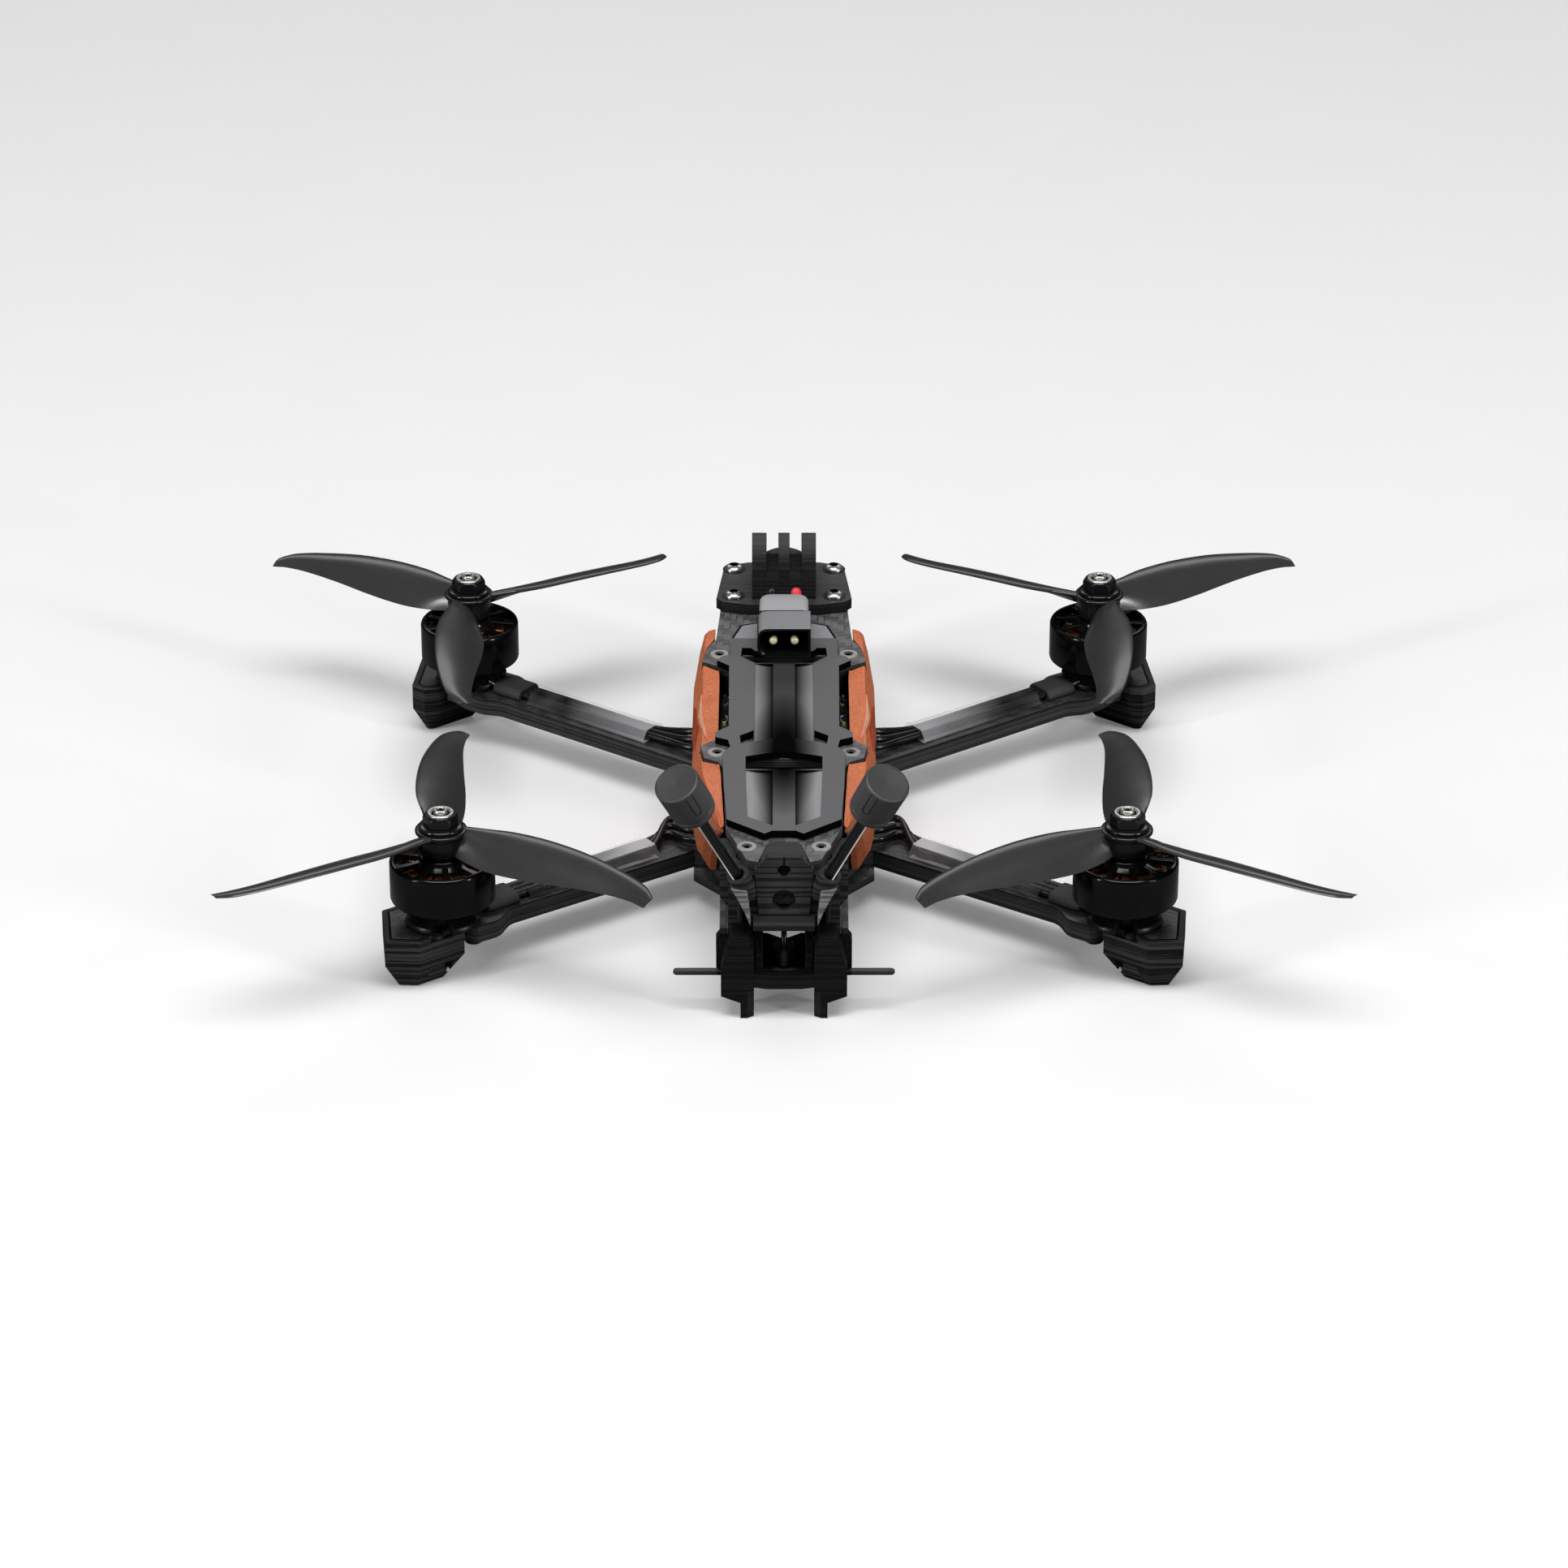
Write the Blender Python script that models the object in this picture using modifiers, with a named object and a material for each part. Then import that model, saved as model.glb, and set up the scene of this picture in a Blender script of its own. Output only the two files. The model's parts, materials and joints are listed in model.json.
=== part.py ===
"""A five-inch FPV racing and freestyle quadcopter, as an assembly of separate parts.

Run it with: blender --background --python part.py
Frame: origin on the belly, midway between the four motors, +Z up, +Y forward, +X right.
Dimensions below are in millimetres; MM turns them into Blender's metres when a mesh is made.
"""

import math

import bmesh
import bpy
from mathutils import Matrix, Vector

MM = 0.001

# ---- Driving dimensions (mm, degrees) ----
GAP = 0.3                       # clearance kept between pieces that touch
MOTOR_X, MOTOR_Y = 90.2, 73.7   # motor axes: 233 mm wheelbase
ARM_ANGLE = 36.0                # arm centre line, from the X axis
ARM_HALF_WIDTH = 7.0
ARM_OUTER_TAPER = 5.3           # half width of an arm's outer side near the motor
PAD_HALF_WIDTH = 9.2            # the arm's motor pad

Z_BOTTOM_PLATE = (0.0, 2.2)
Z_ARM = (2.5, 7.5)
Z_MIDDLE_PLATE = (7.8, 10.0)
Z_TOP_PLATE = (33.0, 35.5)
Z_FOOT = -7.3                   # the ground, under the feet
PAD_BASE, PAD_RAISED = 36.8, 37.8

MOTOR_HOLE_CIRCLE = 8.0         # radius of the motor's 16 mm screw pattern
BELL_RADIUS = 13.95
STATOR_RADIUS = 10.9
SHAFT_RADIUS = 2.5
SHAFT_TOP = 41.0
PROP_SEAT = 26.9
PROP_RADIUS = 65.0
PROP_PLANE = 31.2

POSTS = {"front": (18.0, 30.5), "middle": (18.0, -31.0), "rear": (9.7, -86.3)}
POST_RADIUS = 2.5
MOUNT_SCREWS = ((14.25, 62.2), (14.25, 80.3))
M3_RADIUS = 1.4
M3_HOLE = 1.75

CAMERA_PIVOT = (86.0, 21.4)     # (y, z) of the tilt axis
CAMERA_TILT = 20.0              # upward tilt at rest
PLUG_FRONT, PLUG_BACK = 18.7, 40.4
PLUG_Z = (40.3, 48.9)
LEAD_X, LEAD_RADIUS = 3.4, 1.7
ANTENNA_BASE = (10.9, -97.3, 31.0)
ANTENNA_LEAN = (0.346, -0.417, 0.840)
T_ANTENNA = (-96.0, 3.7)        # (y, z) of the receiver antenna's rods

CORNERS = {
    "front_left": (-1, 1),
    "front_right": (1, 1),
    "rear_left": (-1, -1),
    "rear_right": (1, -1),
}
SIDES = {"left": -1, "right": 1}
# Direction that the propeller's first blade tip points at rest, in degrees from +X
BLADE_ANGLE = {"front_left": 152.9, "front_right": 27.1, "rear_left": 207.5, "rear_right": 332.5}

COLOURS = {                     # name: (rgb, roughness, metallic)
    "carbon": ((0.045, 0.046, 0.05), 0.45, 0.0),
    "black_print": ((0.028, 0.028, 0.03), 0.65, 0.0),
    "orange_panel": ((0.80, 0.22, 0.09), 0.42, 0.35),
    "pad_rubber": ((0.06, 0.06, 0.063), 0.6, 0.0),
    "black_metal": ((0.012, 0.012, 0.014), 0.22, 0.8),
    "steel": ((0.72, 0.70, 0.67), 0.22, 1.0),
    "prop_plastic": ((0.035, 0.036, 0.038), 0.35, 0.0),
    "black_plastic": ((0.02, 0.02, 0.022), 0.4, 0.0),
    "circuit_board": ((0.015, 0.016, 0.02), 0.4, 0.0),
    "aluminium": ((0.45, 0.46, 0.48), 0.35, 1.0),
    "red_wire": ((0.72, 0.05, 0.06), 0.35, 0.0),
    "black_wire": ((0.015, 0.015, 0.017), 0.35, 0.0),
    "lens_glass": ((0.01, 0.012, 0.03), 0.05, 0.0),
}


# ---- Scene and mesh helpers ----
def clear_scene():
    for old in list(bpy.data.objects):
        bpy.data.objects.remove(old)


def new_collection(name):
    made = bpy.data.collections.new(name)
    bpy.context.scene.collection.children.link(made)
    return made


clear_scene()
DRONE = new_collection("fpv_drone")
CUTTERS = new_collection("cutters")


def make_material(name, rgb, roughness, metallic):
    made = bpy.data.materials.new(name)
    made.use_nodes = True
    shader = made.node_tree.nodes["Principled BSDF"]
    shader.inputs["Base Color"].default_value = (*rgb, 1.0)
    shader.inputs["Roughness"].default_value = roughness
    shader.inputs["Metallic"].default_value = metallic
    return made


MATERIALS = {name: make_material(name, *values) for name, values in COLOURS.items()}


def add_object(name, data, material=None):
    """A node when it has a material, otherwise a cutter or helper that isn't rendered."""
    made = bpy.data.objects.new(name, data)
    if material:
        data.materials.append(MATERIALS[material])
        DRONE.objects.link(made)
    else:
        made.hide_render = True
        made.display_type = "WIRE"
        CUTTERS.objects.link(made)
    return made


def from_bmesh(name, bm, material=None):
    bmesh.ops.scale(bm, vec=(MM, MM, MM), verts=bm.verts)
    bmesh.ops.recalc_face_normals(bm, faces=bm.faces)
    mesh = bpy.data.meshes.new(name)
    bm.to_mesh(mesh)
    bm.free()
    return add_object(name, mesh, material)


def curve_to_mesh(name, curve, matrix, material=None):
    """Turns a curve's evaluated shape into a welded mesh, so that it can take Booleans."""
    guide = bpy.data.objects.new(name + "_curve", curve)
    bpy.context.scene.collection.objects.link(guide)
    bpy.context.view_layer.update()
    graph = bpy.context.evaluated_depsgraph_get()
    mesh = bpy.data.meshes.new_from_object(guide.evaluated_get(graph))
    bpy.data.objects.remove(guide)
    bpy.data.curves.remove(curve)
    bm = bmesh.new()
    bm.from_mesh(mesh)
    bpy.data.meshes.remove(mesh)
    bmesh.ops.transform(bm, matrix=matrix, verts=bm.verts)
    bmesh.ops.remove_doubles(bm, verts=bm.verts, dist=1e-3)
    return from_bmesh(name, bm, material)


# Where a prism's outline plane and its thickness point: outline (a, b), thickness c.
PRISM_AXES = {
    "Z": Matrix(((1, 0, 0, 0), (0, 1, 0, 0), (0, 0, 1, 0), (0, 0, 0, 1))),
    "Y": Matrix(((1, 0, 0, 0), (0, 0, -1, 0), (0, 1, 0, 0), (0, 0, 0, 1))),
    "X": Matrix(((0, 0, 1, 0), (1, 0, 0, 0), (0, 1, 0, 0), (0, 0, 0, 1))),
}


def circle(x, y, radius, count=12):
    step = math.tau / count
    return [(x + radius * math.cos(k * step), y + radius * math.sin(k * step)) for k in range(count)]


def prism(name, outline, low, high, material=None, axis="Z", holes=()):
    """A flat outline with holes, extruded along an axis from low to high.

    Outlines are (x, y) for axis Z, (x, z) for axis Y and (y, z) for axis X.
    """
    curve = bpy.data.curves.new(name, "CURVE")
    curve.dimensions = "2D"
    curve.fill_mode = "BOTH"
    curve.extrude = (high - low) / 2
    for points in (outline, *holes):
        spline = curve.splines.new("POLY")
        spline.points.add(len(points) - 1)
        for point, (a, b) in zip(spline.points, points):
            point.co = (a, b, 0.0, 1.0)
        spline.use_cyclic_u = True
    middle = (low + high) / 2
    shift = Matrix.Translation({"X": (middle, 0, 0), "Y": (0, middle, 0), "Z": (0, 0, middle)}[axis])
    return curve_to_mesh(name, curve, shift @ PRISM_AXES[axis], material)


def box(name, low, high, material=None):
    bm = bmesh.new()
    bmesh.ops.create_cube(bm, size=1.0)
    size = [b - a for a, b in zip(low, high)]
    centre = [(a + b) / 2 for a, b in zip(low, high)]
    bmesh.ops.scale(bm, vec=size, verts=bm.verts)
    bmesh.ops.translate(bm, vec=centre, verts=bm.verts)
    return from_bmesh(name, bm, material)


def rod(name, start, end, radius, material=None, sides=12):
    """A straight cylinder between two points."""
    a, b = Vector(start), Vector(end)
    bm = bmesh.new()
    bmesh.ops.create_cone(
        bm, cap_ends=True, segments=sides, radius1=radius, radius2=radius, depth=(b - a).length
    )
    turn = (b - a).to_track_quat("Z", "Y").to_matrix().to_4x4()
    bmesh.ops.transform(bm, matrix=Matrix.Translation((a + b) / 2) @ turn, verts=bm.verts)
    return from_bmesh(name, bm, material)


def turned(name, profile, material=None, steps=24, closed=False):
    """A profile of (radius, z) points, listed down the outer side, turned about its Z axis."""
    mesh = bpy.data.meshes.new(name)
    count = len(profile)
    edges = [(k, k + 1) for k in range(count - 1)]
    if closed:
        edges.append((count - 1, 0))
    mesh.from_pydata([(r * MM, 0.0, z * MM) for r, z in profile], edges, [])
    made = add_object(name, mesh, material)
    screw = made.modifiers.new("turn", "SCREW")
    screw.axis = "Z"
    screw.steps = screw.render_steps = steps
    screw.use_merge_vertices = True
    screw.merge_threshold = 1e-6
    return made


def tube(name, points, radius, material=None, resolution=1):
    """A round wire through the points, with flat ends."""
    curve = bpy.data.curves.new(name, "CURVE")
    curve.dimensions = "3D"
    curve.bevel_depth = radius
    curve.bevel_resolution = resolution
    curve.use_fill_caps = True
    spline = curve.splines.new("POLY")
    spline.points.add(len(points) - 1)
    for point, place in zip(spline.points, points):
        point.co = (*place, 1.0)
    return curve_to_mesh(name, curve, Matrix.Identity(4), material)


def loft(name, rings, material=None):
    """Skins rings of the same number of points and caps both ends."""
    bm = bmesh.new()
    rows = [[bm.verts.new(p) for p in ring] for ring in rings]
    count = len(rows[0])
    for lower, upper in zip(rows, rows[1:]):
        for k in range(count):
            after = (k + 1) % count
            bm.faces.new((lower[k], lower[after], upper[after], upper[k]))
    bm.faces.new(rows[0])
    bm.faces.new(rows[-1])
    return from_bmesh(name, bm, material)


def combine(target, other, operation):
    modifier = target.modifiers.new(other.name, "BOOLEAN")
    modifier.operation = operation
    modifier.object = other


def cut(target, *others):
    for other in others:
        combine(target, other, "DIFFERENCE")


def join(target, *others):
    for other in others:
        combine(target, other, "UNION")


def mirrored(half):
    """A full outline from its right half, listed from the +Y end to the -Y end."""
    return half + [(-x, y) for x, y in reversed(half)]


def both_sides(points):
    return [(side * x, y) for x, y in points for side in (-1, 1)]


def post_holes(*names):
    places = both_sides([POSTS[name] for name in names])
    return [circle(x, y, M3_HOLE, 8) for x, y in places]


# ---- Plates ----
def build_bottom_plate():
    half = [(11, 50), (24.5, 39), (24.5, 22), (18, 12), (18, -12),
            (24.5, -22), (24.5, -38), (16, -48), (11, -52)]
    prism("bottom_plate", mirrored(half), *Z_BOTTOM_PLATE, "carbon", holes=post_holes("front", "middle"))


def build_middle_plate():
    half = [(13, 92), (17, 84), (17, 52), (23.5, 40), (23.5, 21), (18.5, 12), (18.5, -12),
            (23.5, -21), (23.5, -39), (17, -52), (17, -84), (12.5, -91), (5.5, -91), (5.5, -74)]
    front_window = [(-8, 56), (8, 56), (8, 66), (-8, 66)]
    holes = post_holes(*POSTS) + [front_window]
    prism("middle_plate", mirrored(half), *Z_MIDDLE_PLATE, "carbon", holes=holes)


TOP_TAB_FRONT = [(19.1, 40), (21.2, 35.4), (22.8, 25.8), (18.2, 22.7)]
TOP_TAB_MIDDLE = [(18.9, -23.4), (22.6, -27), (21.5, -34.3), (17.6, -36.9)]


def build_top_plate():
    half = [(9.9, 85.5), (12, 89), (17, 84), (18.2, 56), *TOP_TAB_FRONT, (14.3, 20), (14.3, -20),
            *TOP_TAB_MIDDLE, (16.5, -40), (15.3, -75), (9.7, -93.8), (6.8, -95), (4.4, -85.1)]
    lead_slot = [(-6, 49.6), (6, 49.6), (6, 55.6), (-6, 55.6)]
    strap_slots = [
        [(-12, 20), (12, 20), (12, 29), (-12, 29)],
        [(-10.3, -46), (10.3, -46), (10.3, -35), (-10.3, -35)],
    ]
    screws = [circle(x, y, M3_HOLE, 8) for x, y in both_sides(MOUNT_SCREWS)]
    holes = post_holes(*POSTS) + [lead_slot, *strap_slots, *screws]
    prism("top_plate", mirrored(half), *Z_TOP_PLATE, "carbon", holes=holes)


def build_posts():
    """Each post is a threaded standoff with its top and bottom screws fitted."""
    under = {"front": Z_BOTTOM_PLATE[0], "middle": Z_BOTTOM_PLATE[0], "rear": Z_ARM[0]}
    for place, (x, y) in POSTS.items():
        head = under[place] - GAP
        top = Z_TOP_PLATE[1] + GAP
        body_low, body_high = Z_MIDDLE_PLATE[1] + GAP, Z_TOP_PLATE[0] - GAP
        profile = [
            (0, top + 0.5), (3.0, top), (M3_RADIUS, top), (M3_RADIUS, body_high),
            (POST_RADIUS, body_high), (POST_RADIUS, body_low), (M3_RADIUS, body_low),
            (M3_RADIUS, head), (2.8, head), (2.2, head - 1.6), (0, head - 1.6),
        ]
        for side_name, side in SIDES.items():
            made = turned(f"post_{place}_{side_name}", profile, "steel", steps=8)
            made.location = (side * x * MM, y * MM, 0)


# ---- Arms and their guards, drawn in the front right quadrant and mirrored to each corner ----
def arm_point(u, v):
    """A point u mm outward along the arm from the motor axis, and v mm to its outer side."""
    c, s = math.cos(math.radians(ARM_ANGLE)), math.sin(math.radians(ARM_ANGLE))
    return (MOTOR_X + u * c - v * s, MOTOR_Y + u * s + v * c)


def to_corner(points, corner):
    sx, sy = CORNERS[corner]
    return [(sx * x, sy * y, *rest) for x, y, *rest in points]


def fillet(start, end, count=5):
    """A smooth S from start to end in (u, v)."""
    steps = [k / count for k in range(count + 1)]
    return [
        (start[0] + (end[0] - start[0]) * t, start[1] + (end[1] - start[1]) * t * t * (3 - 2 * t))
        for t in steps
    ]


def inset(outline, distance):
    """A convex outline, listed clockwise, with every edge moved in by a distance."""
    result = []
    for k, corner in enumerate(outline):
        before = Vector(corner) - Vector(outline[k - 1])
        after = Vector(outline[(k + 1) % len(outline)]) - Vector(corner)
        first = Vector((before.y, -before.x)).normalized()
        second = Vector((after.y, -after.x)).normalized()
        shift = (first + second) * distance / (1 + first.dot(second))
        result.append((corner[0] + shift.x, corner[1] + shift.y))
    return result


# The guard's rim round the arm's end, clockwise from its corner beside the motor
GUARD = [(84.4, 79.0), (95.9, 87.3), (105.1, 86.8), (106.9, 69.0), (103.3, 66.4), (99.5, 67.0)]
GUARD_WALL = 1.7
GUARD_SLOPE = 3.6               # how far the foot is inside the rim
ARM_ROOT_LOBE = [(-90, 7.0), (-87, 11.3), (-80.5, 11.3), (-76.5, 7.0)]    # round the post's screw
ARM_ROOT_GAP = 0.4


def arm_outline():
    c, s = math.cos(math.radians(ARM_ANGLE)), math.sin(math.radians(ARM_ANGLE))
    root_inner = (ARM_ROOT_GAP - MOTOR_Y + ARM_HALF_WIDTH * c) / s
    root_outer = (ARM_ROOT_GAP - MOTOR_X + ARM_HALF_WIDTH * s) / c
    outer = [(root_outer, ARM_HALF_WIDTH), *ARM_ROOT_LOBE]
    outer += fillet((-18.5, ARM_OUTER_TAPER), (-10.5, PAD_HALF_WIDTH)) + [(-5, 8.9), (-2.9, 5.7)]
    inner = fillet((-17.5, ARM_HALF_WIDTH), (-10.5, PAD_HALF_WIDTH)) + [(-5, PAD_HALF_WIDTH), (0, 7.8)]
    tip = inset(GUARD, GUARD_WALL + GAP)[1:]
    tip[-1] = (tip[-1][0] - 3.0, tip[-1][1] + 0.4)
    back = [(u, -v) for u, v in reversed(inner)] + [(root_inner, -ARM_HALF_WIDTH)]
    return (
        [arm_point(u, v) for u, v in outer] + tip + [arm_point(u, v) for u, v in back]
        + [(ARM_ROOT_GAP, ARM_ROOT_GAP)]
    )


def motor_screw_places():
    reach = MOTOR_HOLE_CIRCLE * math.sqrt(0.5)
    return [arm_point(u, v) for u in (-reach, reach) for v in (-reach, reach)]


def build_arm(corner):
    outline = to_corner(arm_outline(), corner)
    centres = to_corner(motor_screw_places() + [arm_point(0, 0)], corner)
    post_x, post_y = POSTS["front" if corner.startswith("front") else "middle"]
    centres.append((CORNERS[corner][0] * post_x, post_y))
    radii = [1.6] * 4 + [3.0, M3_HOLE]
    holes = [circle(x, y, r, 8) for (x, y), r in zip(centres, radii)]
    prism(f"arm_{corner}", outline, *Z_ARM, "carbon", holes=holes)


def guard_ring(points, z, corner):
    return to_corner([(x, y, z) for x, y in points], corner)


def build_guard(corner):
    """A printed cup under the arm's end, whose flat foot the drone stands on."""
    levels = [(GUARD, Z_ARM[1]), (GUARD, 0.0), (inset(GUARD, GUARD_SLOPE), Z_FOOT)]
    guard = loft(f"arm_guard_{corner}", [guard_ring(p, z, corner) for p, z in levels], "black_print")
    pocket = inset(GUARD, GUARD_WALL)
    mouth = [arm_point(-9, 6.0), *pocket[1:5], (pocket[5][0] - 6, pocket[5][1] + 0.8), arm_point(-9, -9)]
    recess = [arm_point(u, v) for u, v in ((1.8, 4.2), (8.6, 4.2), (8.6, 12), (1.8, 12))]
    notch = [arm_point(u, v) for u, v in ((-4, 5.6), (9.0, 5.6), (9.0, 9), (-4, 9))]
    cuts = [(mouth, Z_ARM[0] - GAP, 9), (recess, -5.6, -1.4), (notch, 6.1, 9)]
    for k, (outline, low, high) in enumerate(cuts):
        cut(guard, loft(f"{corner}_guard_cut_{k}", [guard_ring(outline, z, corner) for z in (low, high)]))


# ---- Motors ----
def turned_at_motor(name, profile, corner, material, steps=24, closed=False):
    sx, sy = CORNERS[corner]
    made = turned(name, profile, material, steps, closed)
    made.location = (sx * MOTOR_X * MM, sy * MOTOR_Y * MM, 0)
    return made


def stator_outline(corner, teeth=12):
    """Twelve wound teeth, with a slot between each pair."""
    sx, sy = CORNERS[corner]
    points = []
    for k in range(teeth):
        for share, radius in ((-0.36, 0.72), (-0.36, 1.0), (0.36, 1.0), (0.36, 0.72)):
            angle = (k + share) * math.tau / teeth
            reach = STATOR_RADIUS * radius
            points.append((sx * MOTOR_X + reach * math.cos(angle), sy * MOTOR_Y + reach * math.sin(angle)))
    return points


def build_motor_base(corner):
    """The fixed half: base cross, bearing tube and wound stator."""
    profile = [(2.4, 23.6), (4.2, 23.6), (4.2, 12.2), (10.6, 10.2), (10.6, 7.8), (2.4, 7.8)]
    base = turned_at_motor(f"motor_base_{corner}", profile, corner, "black_metal", 12, closed=True)
    sx, sy = CORNERS[corner]
    centre = (sx * MOTOR_X, sy * MOTOR_Y)
    stator = prism(
        f"{corner}_stator", stator_outline(corner), 15.6, 22.4, holes=[circle(*centre, 3.4)]
    )
    join(base, stator)


def sector(corner, inner, outer, middle, half_angle, count=1):
    """An outline of a window between two radii, around a motor's axis."""
    sx, sy = CORNERS[corner]
    start = math.radians(middle - half_angle)
    step = math.radians(2 * half_angle) / count
    arc = [start + k * step for k in range(count + 1)]
    rim = [(outer, a) for a in arc] + [(inner, a) for a in reversed(arc)]
    return [(sx * MOTOR_X + r * math.cos(a), sy * MOTOR_Y + r * math.sin(a)) for r, a in rim]


BELL_WINDOWS = 6


def build_motor_bell(corner):
    """The turning half: bell, magnet ring and shaft."""
    profile = [
        (0, SHAFT_TOP), (SHAFT_RADIUS, SHAFT_TOP), (SHAFT_RADIUS, PROP_SEAT), (5.8, PROP_SEAT),
        (6.6, 25.8), (13.3, 25.8), (BELL_RADIUS, 25.0), (BELL_RADIUS, 14.4), (11.4, 14.4),
        (11.4, 24.2), (2.0, 24.2), (2.0, 9.0), (0, 9.0),
    ]
    bell = turned_at_motor(f"motor_bell_{corner}", profile, corner, "black_metal", 20)
    for k in range(BELL_WINDOWS):
        outline = sector(corner, 7.2, 12.2, k * 360 / BELL_WINDOWS + 30, 22)
        cut(bell, prism(f"{corner}_window_{k}", outline, 23.5, 27.0))


# Blade stations: (share of the radius, chord, sweep towards the leading edge, lift, pitch in degrees)
BLADE = [
    (0.07, 8.0, 1.2, 0.2, 45), (0.19, 11.5, 1.6, 0.0, 34), (0.32, 14.2, 2.4, 0.1, 27),
    (0.48, 14.2, 3.3, 0.4, 24), (0.66, 12.0, 4.1, 0.5, 21), (0.83, 9.0, 4.1, 0.1, 17),
    (0.95, 6.0, 2.8, -0.5, 14), (1.00, 3.8, 0.6, -0.9, 12),
]


def blade_ring(station, turn, hand):
    """A thin airfoil section of six points, square to the blade at one station."""
    share, chord, sweep, lift, degrees = station
    radius = share * PROP_RADIUS
    pitch = math.radians(degrees)
    thick = 1.0 + 0.9 * (1 - share)
    section = [(-0.5, 0.0), (-0.1, 0.55), (0.3, 0.5), (0.5, 0.0), (0.3, -0.35), (-0.1, -0.3)]
    ring = []
    for along, up in section:
        side = along * chord
        height = up * thick
        offset = hand * (side * math.cos(pitch) - height * math.sin(pitch) + sweep)
        rise = side * math.sin(pitch) + height * math.cos(pitch) + lift
        around = math.sqrt(max(radius**2 - offset**2, 0.0))
        ring.append(Matrix.Rotation(turn, 3, "Z") @ Vector((around, offset, rise)))
    return ring


def blade_turn(corner, hand):
    """Turns the blade's root so that its swept tip points at the corner's blade angle."""
    swept = hand * math.asin(BLADE[-1][2] / PROP_RADIUS)
    return math.radians(BLADE_ANGLE[corner]) - swept


def build_propeller(corner):
    sx, sy = CORNERS[corner]
    hand = sx * sy              # +1 turns anticlockwise seen from above
    low, high = PROP_SEAT + GAP, 34.6
    hub = [(2.8, high), (7.1, high), (7.1, high - 1.0), (5.6, high - 2.0), (5.2, low), (2.8, low)]
    propeller = turned_at_motor(f"propeller_{corner}", hub, corner, "prop_plastic", 14, closed=True)
    for k in range(3):
        turn = blade_turn(corner, hand) + k * math.tau / 3
        rings = [blade_ring(station, turn, hand) for station in BLADE]
        shift = Vector((sx * MOTOR_X, sy * MOTOR_Y, PROP_PLANE))
        join(propeller, loft(f"{corner}_blade_{k}", [[p + shift for p in ring] for ring in rings]))


def build_prop_nut(corner):
    sx, sy = CORNERS[corner]
    x, y = sx * MOTOR_X, sy * MOTOR_Y
    profile = [(2.8, 39.7), (4.3, 39.7), (4.3, 36.0), (6.4, 35.8), (6.4, 34.9), (2.8, 34.9)]
    nut = turned_at_motor(f"prop_nut_{corner}", profile, corner, "black_metal", steps=12, closed=True)
    hexagon = prism(f"{corner}_hex", circle(x, y, 5.1, 6), 35.6, 39.4, holes=[circle(x, y, 3.1)])
    join(nut, hexagon)


# ---- Side panels ----
# Stations along Y: (y, inner top x, outer x, top z, bottom z)
PANEL = [
    (47.5, 19.3, 22.4, 35.3, 30.0), (42, 19.4, 23.6, 35.3, 22.0), (24, 18.2, 25.1, 35.3, 14.0),
    (20, 17.9, 25.2, 34.2, 13.6), (-3, 17.9, 25.2, 34.2, 13.6), (-6, 17.9, 24.7, 34.2, 13.6),
    (-22, 17.9, 25.0, 34.6, 13.6), (-38, 17.4, 25.0, 35.3, 13.6), (-44, 16.9, 24.4, 35.3, 12.4),
    (-47, 16.8, 23.6, 35.3, 10.4), (-51, 16.7, 22.4, 35.3, 10.4), (-55, 16.5, 20.8, 35.2, 22.0),
    (-72, 15.8, 16.8, 34.6, 32.4),
]
PANEL_SKIN = 1.6


def panel_ring(y, inner, outer, top, bottom, side):
    """A folded cross-section: roof, sloping shoulder, side wall and its inner face."""
    drop = top - bottom
    shoulder = top - min(7.0, drop * 0.35)
    knee = bottom + min(4.0, drop * 0.2)
    roof = inner + (outer - inner) * 0.62
    foot = outer - min(2.6, (outer - inner) * 0.45)
    skin = min(PANEL_SKIN, (outer - inner) * 0.4, drop * 0.3)
    ring = [
        (inner, top), (roof, top - 0.6), (outer, shoulder), (outer - 0.3, knee), (foot, bottom),
        (foot - skin, bottom), (outer - 0.3 - skin, knee + 0.6), (outer - skin, shoulder - 0.6),
        (roof - skin * 0.4, top - 0.6 - skin), (inner, top - skin),
    ]
    return [(side * x, y, z) for x, z in ring]


def build_side_panel(side_name):
    side = SIDES[side_name]
    panel = loft(f"side_panel_{side_name}", [panel_ring(*row, side) for row in PANEL], "orange_panel")
    low, high = Z_TOP_PLATE[0] - GAP, Z_TOP_PLATE[1] + 2
    for k, tab in enumerate((TOP_TAB_FRONT, TOP_TAB_MIDDLE)):
        centre = sum(y for _, y in tab) / len(tab)
        seat = [(side * (x + 0.4), centre + (y - centre) * 1.12) for x, y in tab]
        seat += [(side * 12, seat[-1][1]), (side * 12, seat[0][1])]
        cut(panel, prism(f"{side_name}_tab_seat_{k}", seat, low, high))
    edge = [(12, 62), (18.6, 62), (19.5, 41), (19.0, 41), (18.0, 20), (12, 20)]
    rear = [(12, -35), (17.2, -37), (16.9, -40), (15.7, -75.3), (12, -76)]
    for k, outline in enumerate((edge, rear)):
        points = [(side * x, y) for x, y in outline]
        cut(panel, prism(f"{side_name}_plate_edge_{k}", points, low, high))


# ---- Battery pad ----
PAD_OUTLINE = [
    (8.1, 48.5), (12.4, 46.8), (14.8, 38.4), (14.9, 25.7), (17.3, 24.4), (18.6, 21.8),
    (15.2, 18.5), (15.0, -19.6), (18.6, -23.3), (18.6, -26.2), (15.1, -28.0), (14.5, -32.1),
    (16.5, -35.7), (16.4, -39.3), (16.0, -56.6), (15.1, -75.0), (5.1, -83.3), (3.1, -81.6),
]


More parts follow.
